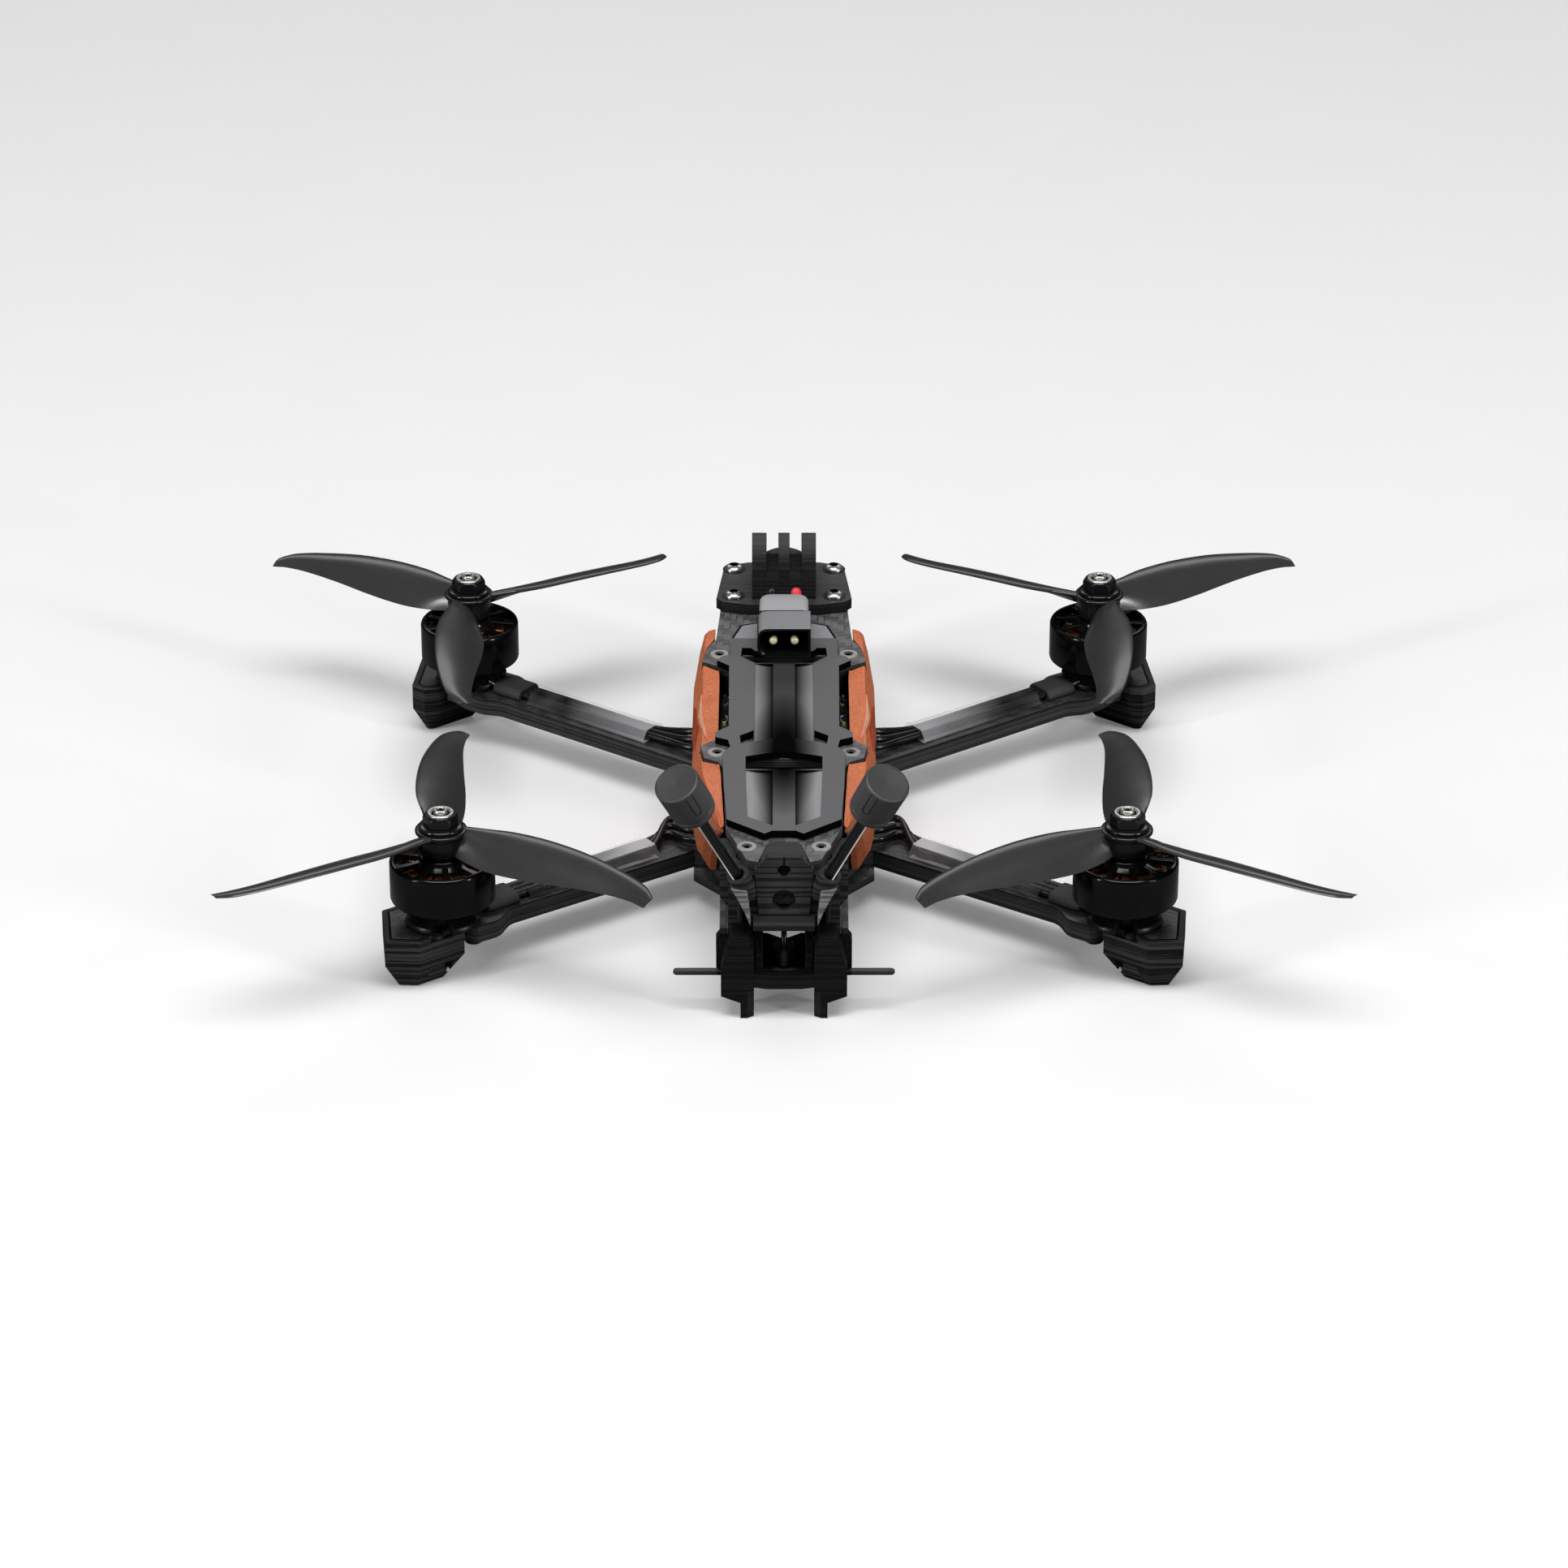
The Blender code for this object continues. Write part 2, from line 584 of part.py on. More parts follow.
def build_battery_pad():
    """A rubber mat: a thin floor, with a raised frame, a middle bar and a spine."""
    strap_gaps = [
        mirrored([(8, 20), (12, 24.6), (11.7, 29.9), (9.2, 29.8), (8, 27.8)]),
        [(-10.3, -45.5), (10.3, -45.5), (10.3, -38), (0, -34.6), (-10.3, -38)],
    ]
    strap_gaps += [[(s * 8.2, -28.6), (s * 11.6, -30.4), (s * 12, -25.4), (s * 8.2, -22.2)] for s in (-1, 1)]
    low = Z_TOP_PLATE[1] + GAP
    pad = prism("battery_pad", mirrored(PAD_OUTLINE), low, PAD_RAISED, "pad_rubber", holes=strap_gaps)
    trays = [[(s * 3, 19.6), (s * 8, 19.6), (s * 8, -29), (s * 3, -27)] for s in (-1, 1)]
    trays += [[(s * 3, -46.4), (s * 10.3, -46.4), (s * 9.6, -73.5), (s * 3, -78.6)] for s in (-1, 1)]
    trays.append([(-20, 36.2), (20, 36.2), (20, 60), (-20, 60)])
    for k, outline in enumerate(trays):
        cut(pad, prism(f"pad_tray_{k}", outline, PAD_BASE, PAD_RAISED + 1))


# ---- Printed mounts ----
def build_action_camera_mount():
    """Three prongs with a cross hole, on a base that four screws hold to the top plate."""
    low = Z_TOP_PLATE[1] + GAP
    half = [(10.2, 85.2), (17.1, 82.8), (19.2, 60.5), (17.5, 58.2), (10.1, 56.2)]
    holes = [circle(x, y, 1.9, 8) for x, y in both_sides(MOUNT_SCREWS)]
    mount = prism("action_camera_mount", mirrored(half), low, low + 3.0, "black_print", holes=holes)
    pivot_y, pivot_z, radius = 67.0, 48.1, 7.5
    arc = [math.radians(angle) for angle in range(0, 181, 20)]
    profile = [(pivot_y + radius * math.cos(a), pivot_z + radius * math.sin(a)) for a in arc]
    profile += [(pivot_y - radius, low + 1), (pivot_y + radius + 5, low + 1)]
    prongs = prism("prongs", profile, -9.05, 9.05, axis="X")
    join(mount, prongs)
    between = [(55, 60)]
    between += [(pivot_y + 8.8 * math.cos(a), pivot_z - 8.8 * math.sin(a)) for a in reversed(arc)]
    between.append((80, 60))
    for side in (-1, 1):
        ends = sorted((side * 1.6, side * 4.95))
        cut(mount, prism(f"prong_gap_{side}", between, *ends, axis="X"))
    cut(mount, rod("prong_hole", (-12, pivot_y, pivot_z), (12, pivot_y, pivot_z), 2.6, sides=16))


def antenna_axis(side):
    lean = Vector((side * ANTENNA_LEAN[0], ANTENNA_LEAN[1], ANTENNA_LEAN[2])).normalized()
    return Vector((side * ANTENNA_BASE[0], ANTENNA_BASE[1], ANTENNA_BASE[2])), lean


def build_antenna_mount():
    """A printed block at the tail that clips round the rear posts and holds both antennas."""
    top = Z_TOP_PLATE[0] - GAP
    face = [(-13.6, top), (-13.6, 29.6), (-8.3, 18.4), (8.3, 18.4), (13.6, 29.6), (13.6, top)]
    mount = prism("antenna_mount", face, -96.2, -82.5, "black_print", axis="Y")
    nose = [(-4.2, 38.2), (4.2, 38.2), (7.6, 34.6), (6.5, 21), (-6.5, 21), (-7.6, 34.6)]
    plate_end = [(-3.9, -85.6), (3.9, -85.6), (6.2, -95.5), (-6.2, -95.5)]
    ledge = [(-8, -101.4), (8, -101.4), (8, -94), (-8, -94)]
    join(
        mount,
        prism("mount_nose", nose, -97.6, -95.6, axis="Y"),
        prism("mount_tongue", plate_end, 30, 36.6),
        prism("mount_ledge", ledge, 18.6, 21.0),
    )
    for side in (-1, 1):
        base, lean = antenna_axis(side)
        wall = [(side * 13, top), (side * 16.8, top), (side * 16.8, 21.4), (side * 14.8, 19), (side * 13, 19)]
        strut = [(side * 12.2, 30), (side * 14.6, 30), (side * 14.6, 10.6), (side * 12.2, 10.6)]
        join(
            mount,
            prism(f"mount_wall_{side}", wall, -88, -76, axis="Y"),
            prism(f"mount_strut_{side}", strut, -92.5, -90, axis="Y"),
            rod(f"mount_socket_{side}", base - 5 * lean, base + 3.5 * lean, 3.0, sides=12),
        )
        x, y = side * POSTS["rear"][0], POSTS["rear"][1]
        cut(
            mount,
            rod(f"mount_bore_{side}", base - 4 * lean, base + 6 * lean, 1.9, sides=12),
            rod(f"mount_post_{side}", (x, y, 10), (x, y, 33.5), POST_RADIUS + 0.35, sides=16),
        )
    cut(mount, rod("mount_eye", (0, -90, 25.6), (0, -99, 25.6), 3.1, sides=16))
    cut(mount, rod("mount_keyhole", (0, -94, 34.2), (0, -99, 34.2), 1.75, sides=12))
    cut(mount, box("mount_key_slit", (-0.25, -99, 34.2), (0.25, -94, 40)))
    cut(mount, box("mount_hollow", (-6, -94, 8), (6, -80, 29)))


def build_rear_bumper():
    """A printed tail guard with two legs, screwed under the middle plate by the rear posts."""
    top = Z_MIDDLE_PLATE[0] - GAP
    half = [(6.6, -80), (16.4, -80), (16.4, -95), (6.6, -95)]
    bumper = prism("rear_bumper", half, Z_ARM[0] + 0.4, top, "black_print")
    other = prism("bumper_tongue", [(-x, y) for x, y in half], Z_ARM[0] + 0.4, top)
    bow = [(-11, -100.6), (-7.2, -101.1), (-4.5, -101.8), (4.5, -101.8), (7.2, -101.1), (11, -100.6),
           (11, -97.6), (4.5, -98.4), (-4.5, -98.4), (-11, -97.6)]
    join(bumper, other, prism("bumper_bow", bow, 1.6, 5.4))
    for side in (-1, 1):
        wing = [(7.9, Z_FOOT), (11.4, Z_FOOT), (11.4, -2.9), (16.5, -0.9), (16.5, 7.2), (14.8, 13.2),
                (13.6, 16.6), (9.4, 16.6), (7.9, 12)]
        block = [(14.8, 1.8), (17.8, 1.8), (17.8, 12.6), (16.6, 14.2), (14.8, 14.2)]
        join(
            bumper,
            prism(f"bumper_wing_{side}", [(side * x, z) for x, z in wing], -101.2, -93.2, axis="Y"),
            prism(f"bumper_block_{side}", [(side * x, z) for x, z in block], -94.5, -91.4, axis="Y"),
        )
        x, y = side * POSTS["rear"][0], POSTS["rear"][1]
        cut(bumper, rod(f"bumper_screw_{side}", (x, y, 0), (x, y, 9), M3_HOLE))
        cut(bumper, prism(f"bumper_trim_{side}", [(side * x, y) for x, y in
                          ((7.0, -103), (12.2, -103), (7.0, -99.4))], -20, 0.6))
    cut(bumper, rod("bumper_rod_hole", (-20, *T_ANTENNA), (20, *T_ANTENNA), 1.5))


# ---- Electronics ----
def build_stack():
    board = [(-17, -18), (17, -18), (17, 18), (-17, 18)]
    holes = [circle(x, y, 1.9, 8) for x in (-14, 14) for y in (-14, 14)]
    esc = prism("esc_board", board, 12.6, 14.2, "circuit_board", holes=holes)
    fc_board = [(-16.5, -17), (16.5, -17), (16.5, 17), (-16.5, 17)]
    fc = prism("flight_controller", fc_board, 20.0, 21.4, "circuit_board", holes=holes)
    for k in range(4):
        x = -10.5 + 7 * k
        join(esc, box(f"mosfet_front_{k}", (x - 2.4, 6.5, 14), (x + 2.4, 12, 15.4)))
        join(esc, box(f"mosfet_rear_{k}", (x - 2.4, -12, 14), (x + 2.4, -6.5, 15.4)))
    join(fc, box("processor", (-4, -4, 21.2), (4, 4, 22.6)))
    join(fc, box("wire_socket_front", (-7, 12.4, 21.2), (7, 16.2, 24.4)))
    join(fc, box("wire_socket_rear", (-7, -16.2, 21.2), (7, -12.4, 24.4)))


AIR_UNIT = ((-15.0, -69.0, 12.4), (15.0, -36.0, 25.4))
BUTTON_PLACE = (9.0, 20.0)      # (x, z) on the air unit's rear face


def build_air_unit():
    """The video transmitter: a finned metal box with a link button at the back."""
    unit = box("air_unit", *AIR_UNIT, "aluminium")
    for k in range(6):
        x = -12.5 + 5 * k
        cut(unit, box(f"fin_gap_{k}", (x - 1.1, -66, 23.2), (x + 1.1, -39, 26)))
    x, z = BUTTON_PLACE
    cut(unit, rod("button_recess", (x, -71, z), (x, -67, z), 1.7))
    rod("link_button", (x, -70.1, z), (x, -67.8, z), 1.35, "black_plastic")


def build_capacitor():
    """A low-ESR capacitor lying across the tail, inside the frame."""
    rod("capacitor", (-10, -76.4, 26.4), (10, -76.4, 26.4), 4.6, "black_plastic", sides=20)


# ---- Power plug and leads ----
def build_power_plug():
    """A two-pin battery plug facing backwards, above the pad."""
    low, high = PLUG_Z
    shell = [(-7.4, low + 1.8), (-5.6, low), (7.4, low), (7.4, high), (-5.6, high), (-7.4, high - 1.8)]
    plug = prism("power_plug", shell, PLUG_FRONT, PLUG_BACK, "black_plastic", axis="Y")
    mouth = [(-6.5, low + 2.2), (-5.2, low + 0.9), (6.5, low + 0.9), (6.5, high - 0.9),
             (-5.2, high - 0.9), (-6.5, high - 2.2)]
    cut(plug, prism("plug_mouth", mouth, PLUG_FRONT - 1, PLUG_FRONT + 9, axis="Y"))
    middle = (low + high) / 2
    for side in (-1, 1):
        x = side * 2.95
        join(plug, rod(f"plug_pin_{side}", (x, PLUG_FRONT + 2, middle), (x, PLUG_FRONT + 10, middle), 1.25))


def build_power_leads():
    """Two thick wires that arch from the plug, through the top plate's slot, to the ESC."""
    middle = (PLUG_Z[0] + PLUG_Z[1]) / 2
    for name, side in (("power_lead_black", -1), ("power_lead_red", 1)):
        x = side * LEAD_X
        path = [(x, PLUG_BACK + GAP, middle), (x, 42.4, middle), (x, 44.6, middle + 1.4), (x, 47.2, middle + 2.4),
                (x, 50.4, middle + 0.8), (x, 52.4, middle - 3.2), (x, 52.6, 37), (x, 51.6, 30),
                (x, 47, 24), (x, 40, 20.4), (x, 30, 18.0), (x, 20.4, 17.2)]
        tube(name, path, LEAD_RADIUS, name.split("_")[-1] + "_wire")


LEAD_SPACING, LEAD_SIZE = 2.05, 1.1


def build_motor_leads(corner):
    """Three wires side by side, moulded as one ribbon, along the arm and onto the middle plate."""
    lift = Z_ARM[1] + GAP + LEAD_SIZE
    stations = [(-16.5, lift), (-73, lift), (-79, 11.5), (-83, 12.0), (-87.6, 12.0)]
    edge = LEAD_SPACING + LEAD_SIZE
    upper = [(LEAD_SPACING * k + part * LEAD_SIZE, LEAD_SIZE) for k in (-1, 0, 1) for part in (-0.5, 0.5)]
    ribbon = [(-edge, 0), *upper, (edge, 0)] + [(v, -z) for v, z in reversed(upper)]
    rings = [[(*arm_point(u, v), z + rise) for v, rise in ribbon] for u, z in stations]
    loft(f"motor_leads_{corner}", [to_corner(ring, corner) for ring in rings], "black_wire")


# ---- FPV camera ----
def build_camera():
    """The tilting camera, drawn level and then tilted about its pivot."""
    y, z = CAMERA_PIVOT
    half = [(y + 8.6, z + 7), (y + 7, z + 8.6), (y - 6.4, z + 8.6), (y - 8, z + 6.6)]
    shell = half + [(a, 2 * z - b) for a, b in reversed(half)]
    body = prism("camera_body", shell, -9.6, 9.6, "black_plastic", axis="X")
    lens_profile = [
        (0, 19.0), (5.6, 19.6), (7.6, 20.6), (8.3, 20.2), (8.3, 13.0), (7.4, 12.4), (7.4, 8.6 + GAP),
        (0, 8.6 + GAP),
    ]
    lens = turned("camera_lens", lens_profile, "lens_glass", steps=20)
    lens.matrix_world = (
        Matrix.Translation((0, y * MM, z * MM)) @ Matrix.Rotation(math.radians(-90), 4, "X")
    )
    screws = []
    for side_name, side in SIDES.items():
        shank = rod(f"camera_screw_{side_name}", (side * (9.6 + GAP), y, z), (side * 17.2, y, z), 1.2, "steel")
        join(shank, rod(f"{side_name}_screw_head", (side * 16.1, y, z), (side * 17.8, y, z), 2.7, sides=16))
        screws.append(shank)
    pivot = Matrix.Translation((0, y * MM, z * MM))
    tilt = pivot @ Matrix.Rotation(math.radians(CAMERA_TILT), 4, "X") @ pivot.inverted()
    for piece in (body, lens, *screws):
        piece.matrix_world = tilt @ piece.matrix_world
    for side_name in SIDES:
        bpy.data.objects[f"{side_name}_screw_head"].matrix_world = tilt


def build_camera_plates():
    """Cheek plates between the middle and top plates that carry the camera's pivot."""
    low, high = Z_MIDDLE_PLATE[1] + GAP, Z_TOP_PLATE[0] - GAP
    outline = [(57, low), (90, low), (97, 17), (97, 25), (91, high), (57, high)]
    pivot = circle(*CAMERA_PIVOT, 1.6)
    window = [(60, 15), (68, 15), (71, 21.5), (68, 28), (60, 28)]
    for side_name, side in SIDES.items():
        ends = sorted((side * 12.8, side * 15.8))
        prism(f"camera_plate_{side_name}", outline, *ends, "black_metal", axis="X", holes=[pivot, window])


# ---- Antennas ----
def build_video_antenna(side_name):
    """A stiff stalk with a drum-shaped cap."""
    profile = [
        (0, 46.0), (5.2, 46.0), (6.05, 45.2), (5.7, 34.0), (5.0, 32.6), (3.4, 32.0), (1.55, 31.8),
        (1.55, -2.5), (0, -2.5),
    ]
    antenna = turned(f"video_antenna_{side_name}", profile, "black_plastic", steps=20)
    base, lean = antenna_axis(SIDES[side_name])
    turn = lean.to_track_quat("Z", "Y").to_matrix().to_4x4()
    antenna.matrix_world = Matrix.Translation(base * MM) @ turn


def build_receiver_antenna():
    """A T-shaped receiver antenna across the tail, fed by a coaxial lead."""
    y, z = T_ANTENNA
    profile = [(0, 29.1), (0.7, 29.1), (0.95, 28.6), (0.95, 17.2), (0.6, 16.8), (0.6, 5.0),
               (1.2, 4.6), (1.2, -4.6), (0.6, -5.0), (0.6, -16.8), (0.95, -17.2), (0.95, -28.6),
               (0.7, -29.1), (0, -29.1)]
    antenna = turned("receiver_antenna", profile, "black_plastic", steps=10)
    antenna.matrix_world = (
        Matrix.Translation((0, y * MM, z * MM)) @ Matrix.Rotation(math.radians(90), 4, "Y")
    )
    lead = tube("receiver_coax", [(0, y, z), (0, y + 1, z + 5), (0, y + 5, z + 9.5), (0, y + 16, z + 11)], 0.9)
    join(antenna, lead)


# ---- Assembly ----
def build_drone():
    build_bottom_plate()
    build_middle_plate()
    build_top_plate()
    build_posts()
    for corner in CORNERS:
        build_arm(corner)
        build_guard(corner)
        build_motor_base(corner)
        build_motor_bell(corner)
        build_propeller(corner)
        build_prop_nut(corner)
        build_motor_leads(corner)
    for side_name in SIDES:
        build_side_panel(side_name)
        build_video_antenna(side_name)
    build_battery_pad()
    build_action_camera_mount()
    build_antenna_mount()
    build_rear_bumper()
    build_stack()
    build_air_unit()
    build_capacitor()
    build_power_plug()
    build_power_leads()
    build_camera()
    build_camera_plates()
    build_receiver_antenna()


build_drone()
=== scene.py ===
"""The looks of a five-inch FPV racing drone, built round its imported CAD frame.

Lengths here are millimetres in the frame's own axes (+X right, +Y forward, +Z up); MM turns them
into Blender's metres when a mesh is made. Places come from the CAD nodes' boxes. Only the stage,
at the end, is laid out in metres.
"""

import json
import math
import random

import bmesh
import bpy
from mathutils import Matrix, Vector

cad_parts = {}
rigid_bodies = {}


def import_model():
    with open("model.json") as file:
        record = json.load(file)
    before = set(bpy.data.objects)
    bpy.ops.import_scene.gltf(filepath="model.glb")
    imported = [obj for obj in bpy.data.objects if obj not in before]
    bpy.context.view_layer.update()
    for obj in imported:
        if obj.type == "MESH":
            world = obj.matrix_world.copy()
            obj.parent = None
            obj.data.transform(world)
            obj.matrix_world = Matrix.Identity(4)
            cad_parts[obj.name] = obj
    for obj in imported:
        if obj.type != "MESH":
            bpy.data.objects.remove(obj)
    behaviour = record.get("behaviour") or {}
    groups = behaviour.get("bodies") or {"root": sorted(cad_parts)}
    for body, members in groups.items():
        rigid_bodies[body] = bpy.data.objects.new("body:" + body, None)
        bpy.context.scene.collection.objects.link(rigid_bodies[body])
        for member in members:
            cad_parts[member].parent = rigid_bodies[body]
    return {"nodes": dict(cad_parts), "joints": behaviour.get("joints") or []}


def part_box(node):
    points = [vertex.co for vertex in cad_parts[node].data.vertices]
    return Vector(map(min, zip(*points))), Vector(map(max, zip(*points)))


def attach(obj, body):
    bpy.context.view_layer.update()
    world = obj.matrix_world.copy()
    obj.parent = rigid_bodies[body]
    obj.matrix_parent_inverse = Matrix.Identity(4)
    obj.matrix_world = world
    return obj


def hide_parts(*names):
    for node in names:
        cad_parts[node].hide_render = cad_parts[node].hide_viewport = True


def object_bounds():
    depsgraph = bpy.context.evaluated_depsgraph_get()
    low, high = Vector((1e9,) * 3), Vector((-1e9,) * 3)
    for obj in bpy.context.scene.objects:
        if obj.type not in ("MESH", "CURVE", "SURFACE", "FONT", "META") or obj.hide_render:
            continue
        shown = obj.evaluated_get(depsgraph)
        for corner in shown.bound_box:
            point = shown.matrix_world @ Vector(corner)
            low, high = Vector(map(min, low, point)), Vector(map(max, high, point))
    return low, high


for old in list(bpy.data.objects):
    bpy.data.objects.remove(old)

MM = 0.001
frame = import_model()
CAD_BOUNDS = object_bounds()

CORNERS = {
    "front_left": (-1, 1), "front_right": (1, 1), "rear_left": (-1, -1), "rear_right": (1, -1),
}
SIDES = {"left": -1, "right": 1}
ARM_ANGLE = math.radians(36)
# Pattern sizes: a tow of the twill, the resin line of a cut edge, and a winding's wire
TOW, RESIN_LINE, WIRE_PITCH = 1.9, 0.55, 0.55


def node_box(node):
    """The lowest and highest corners of a CAD node, in millimetres."""
    low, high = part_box(node)
    return Vector(low) / MM, Vector(high) / MM


def node_centre(node):
    low, high = node_box(node)
    return (low + high) / 2


# ---- Materials ----
class Nodes:
    """Shader nodes that work on numbers, colours and places."""

    def __init__(self, tree, coordinates="Object"):
        self.tree = tree
        self.place = self.node("ShaderNodeTexCoord").outputs[coordinates]

    def node(self, kind, **settings):
        made = self.tree.nodes.new(kind)
        for key, value in settings.items():
            setattr(made, key, value)
        return made

    def link(self, source, target):
        if isinstance(source, bpy.types.NodeSocket):
            self.tree.links.new(source, target)
        else:
            target.default_value = source

    def math(self, operation, a, b=0.0, c=0.0):
        made = self.node("ShaderNodeMath", operation=operation)
        for socket, value in zip(made.inputs, (a, b, c)):
            self.link(value, socket)
        return made.outputs[0]

    def plus(self, a, b):
        return self.math("ADD", a, b)

    def times(self, first, *others):
        for value in others:
            first = self.math("MULTIPLY", first, value)
        return first

    def rest(self, value):
        return self.math("SUBTRACT", 1.0, value)

    def either(self, choice, a, b):
        """Value a where the choice is one, and b where it is nought."""
        return self.plus(self.times(choice, a), self.times(self.rest(choice), b))

    def axes(self, vector=None):
        made = self.node("ShaderNodeSeparateXYZ")
        self.link(vector or self.place, made.inputs[0])
        return made.outputs

    def vector(self, x, y, z):
        made = self.node("ShaderNodeCombineXYZ")
        for socket, value in zip(made.inputs, (x, y, z)):
            self.link(value, socket)
        return made.outputs[0]

    def stretched(self, x, y, z, turn=0.0):
        """Object coordinates turned about Z, then multiplied along each axis."""
        made = self.node("ShaderNodeMapping")
        self.link(self.place, made.inputs["Vector"])
        made.inputs["Rotation"].default_value = (0, 0, turn)
        made.inputs["Scale"].default_value = (x, y, z)
        return made.outputs[0]

    def noise(self, size_mm, detail=3.0, vector=None):
        made = self.node("ShaderNodeTexNoise")
        self.link(vector or self.place, made.inputs["Vector"])
        made.inputs["Scale"].default_value = 1.0 / (size_mm * MM)
        made.inputs["Detail"].default_value = detail
        made.inputs["Roughness"].default_value = 0.55
        return made.outputs["Fac"]

    def remap(self, value, low, high, start=0.3, end=0.7):
        made = self.node("ShaderNodeMapRange")
        for socket, number in zip(made.inputs, (value, start, end, low, high)):
            self.link(number, socket)
        return made.outputs[0]

    def blend(self, factor, a, b):
        made = self.node("ShaderNodeMix", data_type="RGBA")
        self.link(factor, made.inputs[0])
        for socket, value in ((made.inputs[6], a), (made.inputs[7], b)):
            self.link((*value, 1.0) if isinstance(value, tuple) else value, socket)
        return made.outputs[2]

    def camera_ray(self):
        """One where the camera itself looks, nought for light and reflections."""
        return self.node("ShaderNodeLightPath").outputs["Is Camera Ray"]


class Finish(Nodes):
    """A procedural material: a Principled shader and the nodes that drive it."""

    def __init__(self, name, color, roughness, **values):
        self.material = bpy.data.materials.new(name)
        self.material.use_nodes = True
        super().__init__(self.material.node_tree)
        self.shader = self.tree.nodes["Principled BSDF"]
        self.set("Base Color", (*color, 1.0))
        self.set("Roughness", roughness)
        for key, value in values.items():
            self.set(key.replace("_", " ").title().replace("Ior", "IOR"), value)

    def set(self, name, value):
        self.link(value, self.shader.inputs[name])

    def bump(self, height, depth_mm, strength=1.0):
        made = self.node("ShaderNodeBump")
        made.inputs["Distance"].default_value = depth_mm * MM
        made.inputs["Strength"].default_value = strength
        self.link(height, made.inputs["Height"])
        self.set("Normal", made.outputs["Normal"])

    def grained(self, grain, smooth, rough, depth_mm, strength):
        """Lets a grain drive the roughness and the height, and gives the finished material."""
        self.set("Roughness", self.remap(grain, smooth, rough))
        self.bump(grain, depth_mm, strength)
        return self.material

    def normal(self):
        """The surface's direction at rest, as three numbers."""
        return self.axes(self.node("ShaderNodeTexCoord").outputs["Normal"])

    def level(self, low, high):
        """One where the surface looks up or down, nought where it looks sideways."""
        return self.remap(self.math("ABSOLUTE", self.normal()[2]), 0.0, 1.0, low, high)


def grey(value):
    return (value, value, value * 1.04)


def carbon(name, turn=0.0, dark=0.050, light=0.115, rim=None):
    """A two-by-two twill on flat faces and plies on cut edges, with a resin line under the height rim."""
    f = Finish(name, grey(0.03), 0.4, coat_weight=0.15, coat_roughness=0.3)
    x, y, _ = f.axes(f.stretched(1 / (TOW * MM), 1 / (TOW * MM), 1.0, turn))
    diagonal = f.plus(f.math("FLOOR", x), f.math("FLOOR", y))
    warp = f.math("LESS_THAN", f.math("FLOORED_MODULO", diagonal, 4.0), 1.5)
    across = f.either(warp, f.math("FRACT", x), f.math("FRACT", y))
    ridge = f.math("SINE", f.times(across, math.pi))
    along_x = f.noise(1.0, 2.0, f.stretched(0.25, 6.0, 1.0, turn))
    along_y = f.noise(1.0, 2.0, f.stretched(6.0, 0.25, 1.0, turn))
    fibre = f.either(warp, along_y, along_x)
    weave = f.blend(warp, grey(dark), grey(light))
    weave = f.blend(f.remap(fibre, 0.0, 0.45), weave, grey(light * 1.9))
    gap = f.math("GREATER_THAN", f.math("ABSOLUTE", f.math("SUBTRACT", across, 0.5)), 0.41)
    patchy = f.remap(f.noise(4.0, 1.0), 0.0, 0.9, 0.47, 0.58)
    weave = f.blend(f.times(gap, patchy), weave, grey(0.006))
    flat = f.level(0.55, 0.6)
    ply = f.noise(1.0, 1.0, f.stretched(0.002, 0.002, 2.2))
    edge = f.blend(f.remap(ply, 0.0, 1.0, 0.44, 0.58), grey(0.018), grey(0.075))
    if rim:
        below = f.math("SUBTRACT", rim * MM, f.axes()[2])
        edge = f.blend(f.math("LESS_THAN", below, RESIN_LINE * MM), edge, grey(0.002))
    f.set("Base Color", f.blend(flat, edge, weave))
    f.set("Roughness", f.plus(0.32, f.times(warp, 0.12)))
    f.bump(f.either(flat, ridge, ply), 0.05, 0.5)
    return f.material


def printed(name, layer, low, high, top):
    """A flexible 3-D print: fine layer lines, each a little different from the next."""
    f = Finish(name, grey(low), 0.5, specular_ior_level=0.35)
    z = f.axes()[2]
    line = f.math("SINE", f.times(z, math.tau / (layer * MM)))
    wander = f.noise(1.0, 1.0, f.stretched(0.003, 0.003, 1.0 / (layer * 2.2)))
    fray = f.noise(1.0, 2.0, f.stretched(0.15, 0.15, 3.0))
    grain = f.noise(0.25, 2.0)
    shade = f.plus(f.times(wander, 0.8), f.times(fray, 0.2))
    walls = f.blend(f.remap(shade, 0.0, 1.0, 0.47, 0.56), grey(low), grey(high))
    raster = f.noise(1.0, 1.0, f.stretched(0.02, 1.6, 0.2))
    tops = f.blend(f.remap(raster, 0.0, 1.0, 0.4, 0.6), grey(top * 0.75), grey(top * 1.25))
    f.set("Base Color", f.blend(f.level(0.7, 0.9), walls, tops))
    f.set("Roughness", f.remap(grain, 0.38, 0.62))
    height = f.plus(f.times(line, 0.5), f.times(wander, 1.5))
    f.bump(f.plus(height, f.times(grain, 0.25)), 0.05, 0.8)
    return f.material


def orange_paint():
    """Orange with a fine metallic speckle."""
    f = Finish("orange_panel", (0.7, 0.15, 0.05), 0.4, metallic=0.15, specular_ior_level=0.45)
    speck = f.noise(0.34, 2.0)
    cloud = f.noise(7.0, 3.0)
    tone = f.blend(f.remap(speck, 0.0, 1.0, 0.34, 0.66), (0.52, 0.11, 0.038), (0.95, 0.30, 0.125))
    f.set("Base Color", f.blend(f.remap(cloud, 0.0, 0.3, 0.4, 0.7), tone, (0.42, 0.070, 0.022)))
    return f.grained(speck, 0.32, 0.5, 0.04, 0.45)


